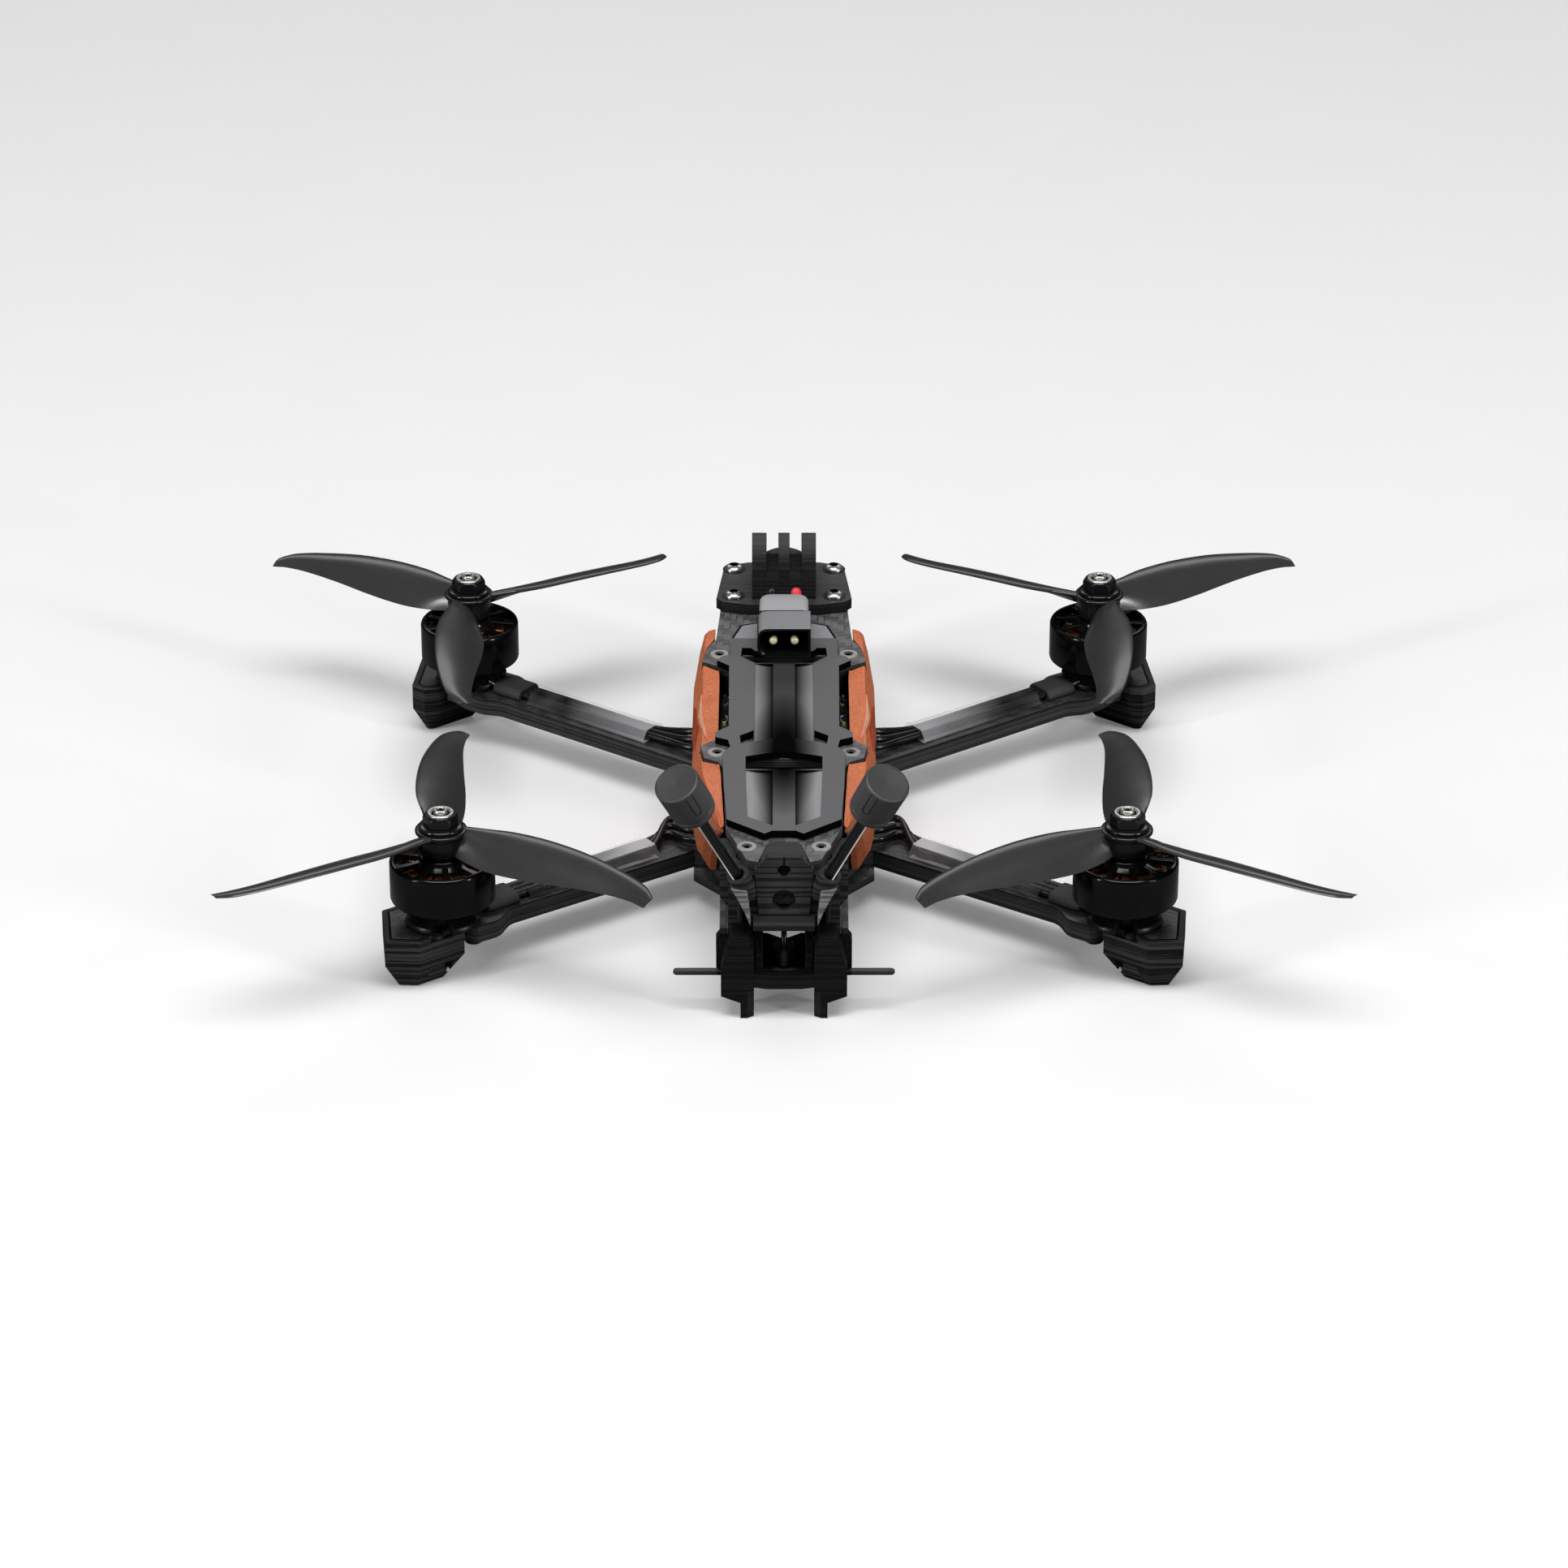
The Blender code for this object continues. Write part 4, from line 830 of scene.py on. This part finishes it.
def build_stator(corner):
    """The fixed half of a motor: base, laminated teeth and copper windings."""
    c = motor_axis(corner)
    foot = [(0.0, 7.8), (10.4, 7.8), (10.6, 8.3), (10.2, 9.4), (5.2, 11.4), (4.3, 13.6), (4.3, 23.6),
            (2.9, 23.6), (2.9, 9.0), (0.0, 9.0)]
    profile = rounded([(r + 0.001, z) for r, z in foot], 0.3, 3)
    base = finished("motor_foot_" + corner, lathe(profile, 64, c), "base", angle=40)
    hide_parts("motor_base_" + corner)
    window = rounded([(5.6, -1.2), (11.5, -3.4), (11.5, 3.4), (5.6, 1.2)], 0.6)
    angles = [k * math.tau / FOOT_WINDOWS for k in range(FOOT_WINDOWS)]
    carve(base, *[moved(extruded(window, 7, 11), spun(c, angle)) for angle in angles])
    shoe = [(4.2, -0.7), (9.6, -0.7), (10.3, -2.4), (10.9, -2.35)]
    shoe += [(r, -a) for r, a in reversed(shoe)]
    coil = []
    for r, half, z0, z1 in ((5.0, 1.15, 15.0, 23.0), (6.2, 1.5, 14.6, 23.4), (9.2, 2.15, 14.5, 23.5),
                            (9.9, 1.9, 14.9, 23.1)):
        outline = rounded(rectangle(-half, z0, half, z1), 0.9, 3)
        coil.append([(r, a, z) for a, z in outline])
    turns = [spun(c, k * math.tau / TEETH) for k in range(TEETH)]
    teeth = [moved(extruded(shoe, 16.0, 22.0), turn) for turn in turns]
    coils = [moved(rings_mesh(coil), turn) for turn in turns]
    finished("stator_teeth_" + corner, merged(*teeth), "laminate", bevel=0.12)
    finished("windings_" + corner, merged(*coils), "copper", angle=50)
    under = node_box("arm_" + corner)[0].z
    for k, v in enumerate((-5.66, 5.66)):
        x, y = arm_point(corner, -5.66, v)
        under_screw(f"motor_screw_{corner}_{k}", x, y, under, 2.6, 1.6, 1.0, "base")


# ---- Propellers ----
PROP_RADIUS = 65.0
PROP_PLANE = 31.2
BLADES = 3
CAMBER, SECTION_STEPS = 0.075, 12
BLADE_ANGLE = {"front_left": 152.9, "front_right": 27.1, "rear_left": 207.5, "rear_right": 332.5}
# Blade stations: (per cent of the radius, chord, sweep towards the leading edge, lift, pitch in degrees)
BLADE = [
    (7, 8.0, 1.2, 0.2, 45), (19, 11.5, 1.6, 0.0, 34), (32, 14.2, 2.4, 0.1, 27), (48, 14.2, 3.3, 0.4, 24),
    (66, 12.0, 4.1, 0.5, 21), (83, 9.0, 4.1, 0.1, 17), (93, 7.2, 3.3, -0.3, 14), (98, 5.6, 2.0, -0.7, 13),
    (100, 4.4, 1.2, -0.9, 12),
]


def airfoil():
    """Points round a cambered section of unit chord: (along, camber, half thickness)."""
    upper, lower = [], []
    for k in range(SECTION_STEPS + 1):
        x = 0.5 - 0.5 * math.cos(math.pi * k / SECTION_STEPS)
        half = 5 * (0.2969 * math.sqrt(x) - 0.126 * x - 0.3516 * x**2 + 0.2843 * x**3 - 0.1036 * x**4)
        camber = CAMBER * math.sin(math.pi * x**0.9)
        upper.append((0.5 - x, camber, half))
        lower.append((0.5 - x, camber, -half))
    return upper + lower[-2:0:-1]


def blade_mesh(turn, hand, centre):
    rings = []
    for percent, chord, sweep, lift, degrees in smooth_path(BLADE, 6):
        share = min(percent / 100, 1.0)
        radius, pitch = share * PROP_RADIUS, math.radians(degrees)
        thick = (0.8 + 1.5 * (1 - share)) * min(1.0, (1.03 - share) * 12 + 0.2)
        ring = []
        for along, camber, half in airfoil():
            side, height = along * chord, half * thick + camber * chord
            offset = hand * (side * math.cos(pitch) - height * math.sin(pitch) + sweep)
            rise = side * math.sin(pitch) + height * math.cos(pitch) + lift
            around = math.sqrt(max(radius**2 - offset**2, 0.0))
            ring.append(Matrix.Rotation(turn, 3, "Z") @ Vector((around, offset, rise)) + centre)
        rings.append(ring)
    return rings_mesh(rings)


def build_propeller(corner):
    sx, sy = CORNERS[corner]
    hand = sx * sy
    swept_tip = hand * math.asin(0.6 / PROP_RADIUS)
    start = math.radians(BLADE_ANGLE[corner]) - swept_tip
    middle = Vector((*motor_axis(corner), PROP_PLANE))
    blades = [blade_mesh(start + k * math.tau / BLADES, hand, middle) for k in range(BLADES)]
    blade = on_rotor(corner, "blades", merged(*blades), "prop", angle=60)
    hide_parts("propeller_" + corner)
    hub = [(2.8, 34.6), (6.5, 34.6), (6.9, 34.3), (6.9, 33.6), (6.2, 33.1), (6.1, 32.4), (6.0, 28.4),
           (5.4, 27.2), (2.8, 27.2)]
    turned(corner, "prop_hub", rounded(hub), 72, "hub", 50)


def build_nut(corner):
    c = motor_axis(corner)
    flange = rounded([(2.8, 34.9), (5.9, 34.9), (5.9, 35.4), (5.5, 35.7), (2.8, 36.0)], 0.25, 3)
    base = turned(corner, "nut_flange", flange, 72, "nut", 40)
    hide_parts("prop_nut_" + corner)
    apothem, across_corners, steps = 4.25, 4.8, 72
    rings = []
    # Heights of the hexagon, and the circle that limits it at each; a bare hexagon has a wide one
    for z, limit in ((35.9, 9), (37.9, 9), (38.4, 4.65), (38.9, 4.2), (39.1, 4.0), (39.1, 3.8),
                     (38.9, 3.7), (35.9, 3.7)):
        ring = []
        for k in range(steps):
            a = k * math.tau / steps
            reach = apothem / math.cos((a % (math.tau / 6)) - math.tau / 12)
            reach = min(reach, across_corners, limit)
            ring.append((c[0] + reach * math.cos(a), c[1] + reach * math.sin(a), z))
        rings.append(ring)
    rings.append(rings[0])
    on_rotor(corner, "nut_hex", rings_mesh(rings, closed_ends=False), "nut", 0.06, 22)
    insert = [(2.45, 38.0), (3.6, 38.0), (3.6, 39.15), (3.35, 39.4), (2.8, 39.4), (2.6, 39.1), (2.45, 39.1)]
    turned(corner, "nut_insert", rounded(insert, 0.1, 3), 56, "steel", 50)


# ---- Motor wires ----
LEAD_SPACING, LEAD_RADIUS = 2.15, 1.05


def shrink_outline(half, height):
    shoulder = height * 0.55
    return [(-half, 0.12), (half, 0.12), (half, shoulder), (half - 1.1, height), (1.1 - half, height),
            (-half, shoulder)]


def sleeve_outline(half, height):
    return [(-half, 0.10), (half, 0.10), (half + 0.1, 0.8), (half - 1.9, height), (1.9 - half, height),
            (-half - 0.1, 0.8)]


def build_leads(corner):
    """Three wires with a heat shrink at the motor end and a clear sleeve along the arm."""
    lift = node_box("arm_" + corner)[1].z + 0.3 + LEAD_RADIUS
    sx, sy = CORNERS[corner]
    along = ((-9.0, lift + 1.0), (-14, lift), (-22, lift), (-40, lift + 0.1), (-58, lift),
             (-65.5, lift + 0.2))
    for k in (-1, 0, 1):
        points = [(*arm_point(corner, u, LEAD_SPACING * k), z) for u, z in along]
        # From the sleeve's end the three climb side by side and go in under the side panel
        y, z = (26.7 + 2.0 * k if sy > 0 else 2.5 * k - 28.9), 10.9 + 1.5 * k
        points += [(sx * 31.5, y + 3.9, (lift + z) / 2), (sx * 26.2, y, z), (sx * 20.0, y - 1.6, z)]
        rod = swept(smooth_path(points, 8), LEAD_RADIUS)
        wire = finished(f"motor_wire_{corner}_{k + 1}", rod, "black_wire", angle=60)
        if k == -1:
            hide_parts("motor_leads_" + corner)
    stations = ((-10.5, 2.6, 1.6), (-11.6, 4.3, 2.9), (-13.5, 4.7, 3.1), (-17.0, 4.6, 3.0),
                (-20.2, 4.6, 3.0), (-21.2, 4.55, 2.95))
    rings = arm_rings(corner, stations, shrink_outline, 0.7)
    finished("heat_shrink_" + corner, rings_mesh(rings), "shrink", angle=45)
    stations = ((-24.5, 4.9, 3.3), (-25.3, 4.8, 3.1), (-35, 4.9, 3.2), (-48, 4.8, 3.1),
                (-65.2, 4.9, 3.2), (-66.2, 5.1, 3.5))
    rings = arm_rings(corner, stations, sleeve_outline, 0.3)
    finished("wire_sleeve_" + corner, rings_mesh(rings, closed_ends=False), "sleeve", angle=40)


# ---- Antennas ----
def node_axis(node, lean):
    """The two end centres of a straight round CAD node, along a rough direction."""
    points = [Vector(v.co) / MM for v in frame["nodes"][node].data.vertices]
    reach = [p.dot(lean) for p in points]
    ends = []
    for limit in (min(reach), max(reach)):
        near = [p for p, r in zip(points, reach) if abs(r - limit) < 0.05]
        ends.append(sum(near, Vector()) / len(near))
    return ends


def build_video_antenna(side_name):
    side = SIDES[side_name]
    node = "video_antenna_" + side_name
    lean = Vector((side * 0.346, -0.417, 0.840)).normalized()
    foot, top = node_axis(node, lean)
    h = (top - foot).length
    turn = Matrix.Translation(foot) @ (top - foot).to_track_quat("Z", "Y").to_matrix().to_4x4()
    stalk = rectangle(0.001, 0, 1.5, h - 14)
    finished("antenna_stalk_" + side_name, moved(lathe(stalk, 32), turn), "stalk", angle=40)
    drops = ((0.001, 0.25), (5.25, 0.25), (5.3, 0), (5.9, 0.2), (6.0, 0.8), (5.85, 10.6), (5.6, 10.7),
             (5.6, 11.0), (5.85, 11.1), (5.7, 12.6), (4.6, 14.0), (2.4, 14.6), (1.7, 15.4), (0.001, 15.4))
    cap = rounded([(r, h - drop) for r, drop in drops], 0.15, 3)
    piece = finished("antenna_cap_" + side_name, moved(lathe(cap, 72), turn), "antenna_cap", angle=35)
    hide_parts(node)
    lines = []
    for k in range(3):
        spin = turn @ Matrix.Rotation(k * math.tau / 3 - math.pi / 2 + 0.9 * side, 4, "Z")
        around = [(a, h - 0.6 - 1.5 * b) for a, b in ((-0.95, 0), (-0.95, 2), (-0.95, 4.4))]
        around += [(-0.95 * math.cos(t), h - 7.3 - 0.95 * math.sin(t)) for t in (0.5, 1.05, 1.57, 2.1, 2.6)]
        around += [(-a, z) for a, z in reversed(around[:3])]
        path = [(math.sqrt(5.93**2 - a * a), a, z) for a, z in around]
        lines.append(moved(swept(path, 0.13, 8), spin))
    finished("antenna_lines_" + side_name, merged(*lines), "chip", angle=60)


def build_receiver_antenna():
    """A T of two soft rods on thin necks, fed by a coax that climbs into the body."""
    low = node_box("receiver_antenna")[0]
    y, z = low.y + 1.2, low.z + 1.2

    def rod(name, places, radius, material, sides=14):
        path = [(x, y, z) for x in places]
        return finished(name, swept(path, radius, sides), material, angle=50)

    for name, side in SIDES.items():
        places = [side * x for x in (16.9, 17.3, 18, 28.2, 28.8, 29.05)]
        tip = rod("receiver_rod_" + name, places, [0.5, 0.85, 0.95, 0.95, 0.75, 0.3], "antenna", 20)
        rod("receiver_neck_" + name, [side * x for x in (4, 11, 17.2)], 0.42, "black_wire")
        if side < 0:
            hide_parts("receiver_antenna")
    rod("receiver_tee", (-3.4, -2.9, 2.9, 3.4), [0.7, 1.15, 1.15, 0.7], "shrink", 20)
    lead = smooth_path([(0, y, z), (0, y + 1.5, z + 4), (0, y + 5, z + 9), (0.3, y + 10, z + 10.6),
                        (0, y + 16, z + 11)])
    finished("receiver_coax", swept(lead, 0.75), "black_wire", angle=60)
    rises = ((0.001, 6.2), (0.9, 6.0), (1.35, 5), (1.35, 2.2), (0.9, 1.0), (0.001, 0.8))
    bulb = [(r, z + rise) for r, rise in rises]
    finished("receiver_bulb", lathe(rounded(bulb, 0.3), 32, (0, y + 0.4)), "shrink", angle=50)


# ---- Plug and leads ----
def build_plug():
    low, high = node_box("power_plug")
    x0, x1, z0, z1 = low.x, high.x, low.z, high.z
    y0, y1 = low.y, high.y
    seam = y0 + 12.0

    def shell(grow, corner=3.0):
        """Rounded on the left, square on the right, as the connector's key."""
        left, right, bottom, top = x0 + grow, x1 - grow, z0 + grow, z1 - grow
        outline = [(left, top), (left, bottom), (right, bottom), (right, top)]
        soft, sharp = rounded(outline, corner, 6), rounded(outline, 0.3, 6)
        half = len(soft) // 2
        return soft[:half] + sharp[half:]

    body = finished("plug_body", extruded(shell(0.0), y0, seam - 0.2, "Y"), "plug", bevel=0.12)
    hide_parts("power_plug")
    # The mouth is painted black, as shade.
    carve(body, extruded(shell(0.75, 2.5), y0 - 1, y0 + 9, "Y"), inside="socket")
    middle = (z0 + z1) / 2
    for name, side in SIDES.items():
        x = side * 2.95
        pin = [(x, y0 + depth, middle) for depth in (2.6, 1.4, 0.9, 0.7)]
        finished("plug_pin_" + name, swept(pin, [1.1, 1.1, 0.9, 0.5], 28), "gold", angle=50)
        # Black stems behind the pins, in the mouth's painted shade.
        stem = [(x, y0 + 9, middle), (x, y0 + 2.5, middle)]
        finished("plug_pin_stem_" + name, swept(stem, 1.15, 28), "socket")
    cover = []
    end = y1 + 2.6
    for y, grow, round_off in ((seam + 0.7, 0.9, 1.4), (seam + 0.95, 0.45, 1.4), (end - 3.6, 0.45, 1.6),
                               (end - 1.8, 0.8, 1.8), (end - 0.6, 1.6, 1.9), (end, 2.5, 2.0)):
        drop = 0.1 + (grow - 0.45) * 0.3
        outline = rounded(rectangle(x0 + grow, z0 + grow, x1 - grow, z1 - drop), round_off, 4)
        cover.append([(a, y, b) for a, b in outline])
    finished("plug_cover", rings_mesh(cover), "cover", angle=35)
    finished("plug_collar", extruded(shell(1.0, 1.4), seam - 0.4, seam + 1.1, "Y"), "socket")


def build_power_leads():
    for name in ("red", "black"):
        node = "power_lead_" + name
        piece = dress(node, name + "_wire", 0.01)
        piece.modifiers.remove(piece.modifiers["bevel"])
        piece.modifiers.remove(piece.modifiers["flat"])
        # Subdivision rounds the rod instead of the bevel
        soft = piece.modifiers.new("soft", "SUBSURF")
        soft.levels = soft.render_levels = 2


# ---- Battery pad trays ----
def build_pad_trays():
    """Glossy channels that rise from the pad's spine to its frame."""
    floor = node_box("battery_pad")[1].z - 1.0
    # Each row: its front and rear edge beside the spine and beside the frame, and its half widths
    rows = {"front": (19.6, 19.6, -27.2, -29.0, 8.0, 8.0), "rear": (-46.4, -46.4, -78.2, -73.8, 10.3, 9.7)}
    for row, (near0, far0, near1, far1, wide0, wide1) in rows.items():
        for name, side in SIDES.items():
            rings = []
            for t in [k / 8 for k in range(9)]:
                wide = wide0 + (wide1 - wide0) * t
                ring = []
                for share in [j / 12 for j in range(13)]:
                    x = 3.05 + (wide - 3.1) * share
                    y = (near0 + (far0 - near0) * share) * (1 - t) + (near1 + (far1 - near1) * share) * t
                    ring.append((side * x, y, floor + 0.08 + 0.75 * share**1.8))
                ring += [(ring[-1][0], ring[-1][1], floor - 0.2), (ring[0][0], ring[0][1], floor - 0.2)]
                rings.append(ring)
            finished(f"pad_tray_{row}_{name}", rings_mesh(rings), "tray", angle=40)
    # A black rim round the nose stands for the shade on its wall.
    rim = mirrored([(8.1, 48.4), (12.3, 46.8), (14.7, 38.5), (14.8, 36.4)])
    finished("pad_nose_rim", extruded(rim, floor - 0.4, floor + 0.05), "socket", bevel=0.05)
    middle = mirrored([(7.9, 47.7), (11.8, 46.2), (14.0, 38.5), (14.1, 36.4)])
    finished("pad_tray_nose", extruded(middle, floor - 0.4, floor + 0.12), "tray", bevel=0.08)


# ---- Electronics ----
STACK_HOLE = 14


def scatter(name, board, z, seed, count):
    """Small surface-mount parts along a board's long edges."""
    low, high = node_box(board)
    rng = random.Random(seed)
    heaps = {"chip": [], "tin": [], "ivory": [], "yellow": []}
    for _ in range(count):
        kind = rng.choice(["chip", "chip", "tin", "tin", "ivory", "yellow"])
        w, d, h = rng.uniform(0.5, 1.6), rng.uniform(0.5, 2.2), rng.uniform(0.3, 1.3)
        side = rng.choice((-1, 1))
        x = side * rng.uniform(-low.x - 6.0, high.x - w)
        y = rng.uniform(low.y + 2, high.y - 2)
        if math.hypot(abs(x) - STACK_HOLE, abs(y) - STACK_HOLE) < 4.0:
            continue
        heaps[kind].append(block((x - w / 2, y - d / 2, z), (x + w / 2, y + d / 2, z + h)))
    for kind, parts in heaps.items():
        if parts:
            finished(f"{name}_{kind}", merged(*parts), kind, bevel=0.06)


def build_side_boards():
    """A narrow breakout board on pins along each side of the flight controller."""
    deck = node_box("flight_controller")[1].z + 1.0
    for name, side in SIDES.items():
        strip = rectangle(side * 15.0, 0.5, side * 17.5, 24.0)
        finished(f"side_board_{name}", extruded(strip, deck, deck + 0.8), "board", bevel=0.06)
        x = side * 15.6
        legs = [swept([(x, y, deck - 2.2), (x, y, deck + 1.2)], 0.35, 8) for y in (4.0, 9.0, 14.0)]
        finished(f"side_board_pins_{name}", merged(*legs), "tin", angle=50)
        rng = random.Random(5)
        for kind, count in (("tin", 10), ("chip", 7), ("yellow", 2)):
            parts = []
            for _ in range(count):
                x, y = side * rng.uniform(15.4, 17.0), rng.choice((6.0, 19.5)) + rng.uniform(-3.0, 3.0)
                w, d, top = rng.uniform(0.25, 0.45), rng.uniform(0.3, 0.7), deck + rng.uniform(1.3, 2.0)
                parts.append(block((x - w, y - d, deck + 0.8), (x + w, y + d, top)))
            finished(f"side_board_{kind}_{name}", merged(*parts), kind, bevel=0.05)


def build_electronics():
    for node in ("esc_board", "flight_controller"):
        dress(node, "board", 0.06)
    scatter("esc_parts", "esc_board", node_box("esc_board")[0].z + 1.6, seed=7, count=90)
    face = node_box("flight_controller")[0].z + 1.4
    scatter("controller_parts", "flight_controller", face, seed=11, count=110)
    dress("air_unit", "heat_sink", 0.2)
    dress("link_button", "ivory", 0.15)
    # The capacitor shares the stalk's material, with its painted reflection.
    dress("capacitor", "stalk", 0.4, 3)
    build_side_boards()
    low, high = node_box("esc_board")
    holes = (-STACK_HOLE, STACK_HOLE)
    for k, (x, y) in enumerate([(a, b) for a in holes for b in holes]):
        top, bottom = high.z + 4.0, low.z - 1.5
        rubber = rounded(rectangle(1.0, top, 2.6, bottom), 0.4)
        finished(f"stack_rubber_{k}", lathe(rubber, 28, (x, y)), "shrink", angle=50)
    ribbon = smooth_path([(0, -16, 16), (0, -22, 18.5), (0, -28, 21), (0, -34, 20), (0, -36.5, 18)])
    for k in range(6):
        x = -3.75 + 1.5 * k
        strand = [Vector((x, p.y, p.z)) for p in ribbon]
        kind = "red_wire" if k == 0 else "black_wire"
        finished(f"harness_{k}", swept(strand, 0.55), kind, angle=60)


# ---- FPV camera ----
GRIP_RIBS = 24


def build_camera():
    """The front camera: the lens looks forward and up by the tilt it is built at."""
    dress("camera_body", "camera", 0.5, 3)
    tilt = math.radians(20)
    joint = next(j for j in frame["joints"] if j["name"] == "camera_tilt")
    pivot = Vector(joint["pos_m"]) / MM
    turn = Matrix.Translation(pivot) @ Matrix.Rotation(tilt - math.radians(90), 4, "X")
    barrel = [(5.4, 19.0), (5.6, 19.9), (7.4, 20.6), (8.2, 20.1), (8.2, 13.0), (7.4, 12.4), (7.4, 8.9),
              (4.6, 8.9), (4.6, 17.4)]
    solid = moved(lathe(rounded(barrel, 0.3, 3), 72), turn)
    ring = finished("lens_barrel", solid, "camera", "camera", angle=40)
    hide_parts("camera_lens")
    ribs = []
    for k in range(GRIP_RIBS):
        spin = turn @ Matrix.Rotation(k * math.tau / GRIP_RIBS, 4, "Z")
        ribs.append(moved(block((8.05, -0.35, 13.6), (8.35, 0.35, 19.2)), spin))
    finished("lens_grip", merged(*ribs), "camera", "camera", 0.1)
    glass = [(0.001, 19.4), (2.0, 19.25), (3.8, 18.8), (5.5, 18.0), (5.5, 16.5), (0.001, 16.5)]
    finished("lens_front", moved(lathe(glass, 64), turn), "glass", "camera", angle=60)
    for side in SIDES:
        dress("camera_screw_" + side, "steel", 0.2)


# ---- Tail ----
def build_tail():
    """Dark parts between the bumper's legs, and gussets on the antenna mount."""
    tray = rounded(rectangle(-8.6, -96.6, 8.6, -86.5), 0.8, 3)
    finished("tail_tray", extruded(tray, 2.4, 4.6), "print_dark", bevel=0.2)
    back = [(-8.6, 3.0), (8.6, 3.0), (8.6, 10.2), (4.5, 10.2), (0, 8.4), (-4.5, 10.2), (-8.6, 10.2)]
    finished("tail_wall", extruded(back, -87.4, -86.5, "Y"), "print_dark", bevel=0.15)
    for name, side in SIDES.items():
        rail = [(-96.0, 4.5), (-87.6, 4.5), (-87.6, 11.0), (-90.5, 12.6), (-95.0, 8.0)]
        piece = extruded(rail, side * 6.6 - 1.0, side * 6.6 + 1.0, "X")
        finished(f"tail_rail_{name}", piece, "print_dark", bevel=0.2)
        corners = ((9.5, 29.6), (13.9, 30.6), (11.9, 26.8), (10.1, 22.9), (8.6, 19.0))
        gusset = extruded([(side * x, z) for x, z in corners], -100.4, -96.1, "Y")
        finished(f"mount_gusset_{name}", gusset, "print_light", bevel=0.3)
    can = rounded([(0.001, 8.9), (2.7, 8.9), (3.0, 8.6), (3.0, 4.7), (0.001, 4.7)], 0.4, 4)
    finished("tail_capacitor", lathe(can, 40, (0, -90.2)), "antenna", angle=40)


# ---- Stage, in metres ----
def build_stage():
    """A pale floor, a soft sky above a dark horizon, and soft boxes."""
    floor_glow = 0.12
    bm = bmesh.new()
    bmesh.ops.create_grid(bm, x_segments=1, y_segments=1, size=6.0)
    floor = placed("floor", mesh_from("floor", bm))
    floor.location = (0, 0, CAD_BOUNDS[0][2] - 0.0002)
    f = Finish("studio_floor", (0.9, 0.9, 0.9), 0.8, specular_ior_level=0.1)
    pale = f.blend(f.noise(40, 3.0), (0.88, 0.88, 0.885), (0.91, 0.91, 0.91))
    # The floor is pale to the camera and darker in reflections, as if black flags stood round it
    seen = f.camera_ray()
    f.set("Base Color", f.blend(seen, (0.16, 0.16, 0.16), pale))
    f.set("Emission Strength", f.times(seen, floor_glow))
    floor.data.materials.append(f.material)
    build_sky()
    lamps = {
        "key": ((0.0, 1.6, 1.3), (2.4, 0.5), 7.0), "top": ((0.0, -0.5, 1.8), (1.6, 0.9), 24.0),
        "left": ((-1.25, -0.75, 0.6), (0.14, 0.8), 8.0), "right": ((1.25, -0.75, 0.6), (0.14, 0.8), 8.0),
    }
    for name, (place, size, power) in lamps.items():
        light = bpy.data.lights.new(name, "AREA")
        light.shape = "RECTANGLE"
        light.size, light.size_y = size
        light.energy = power
        lamp = placed(name + "_light", light)
        lamp.location = place
        lamp.rotation_euler = (-Vector(place)).to_track_quat("-Z", "Y").to_euler()
    bpy.context.scene.view_settings.view_transform = "Standard"


def build_sky():
    """Dark near the horizon and bright overhead; the camera itself sees a pale wall there."""
    wall_brightness = 0.92
    world = bpy.data.worlds.new("studio")
    bpy.context.scene.world = world
    world.use_nodes = True
    sky = Nodes(world.node_tree, "Generated")
    rise = sky.node("ShaderNodeMapRange", interpolation_type="SMOOTHSTEP")
    for socket, value in zip(rise.inputs, (sky.axes()[2], 0.10, 0.42, 0.06, 1.4)):
        sky.link(value, socket)
    wall = sky.times(sky.camera_ray(), wall_brightness)
    bright = sky.math("MAXIMUM", rise.outputs[0], wall)
    sky.link(bright, world.node_tree.nodes["Background"].inputs["Strength"])


def build_camera_view():
    """From behind and above, on a long lens."""
    elevation, distance = math.radians(26.745), 1.5736
    target = Vector((0, 0, 0.01032))
    view = bpy.data.cameras.new("view")
    view.lens, view.sensor_width = 130.7, 36.0
    view.clip_start, view.clip_end = 0.05, 30.0
    camera = placed("view", view)
    camera.location = target + distance * Vector((0, -math.cos(elevation), math.sin(elevation)))
    camera.rotation_euler = (math.pi / 2 - elevation, 0, 0)
    bpy.context.scene.camera = camera


def main():
    dress_frame()
    build_posts()
    build_mount_screws()
    for corner in CORNERS:
        build_motor(corner)
        build_shaft(corner)
        build_stator(corner)
        build_propeller(corner)
        build_nut(corner)
        build_leads(corner)
    for side_name in SIDES:
        build_video_antenna(side_name)
    build_receiver_antenna()
    build_plug()
    build_power_leads()
    build_pad_trays()
    build_panel_facets()
    build_electronics()
    build_camera()
    build_tail()
    build_stage()
    build_camera_view()


main()
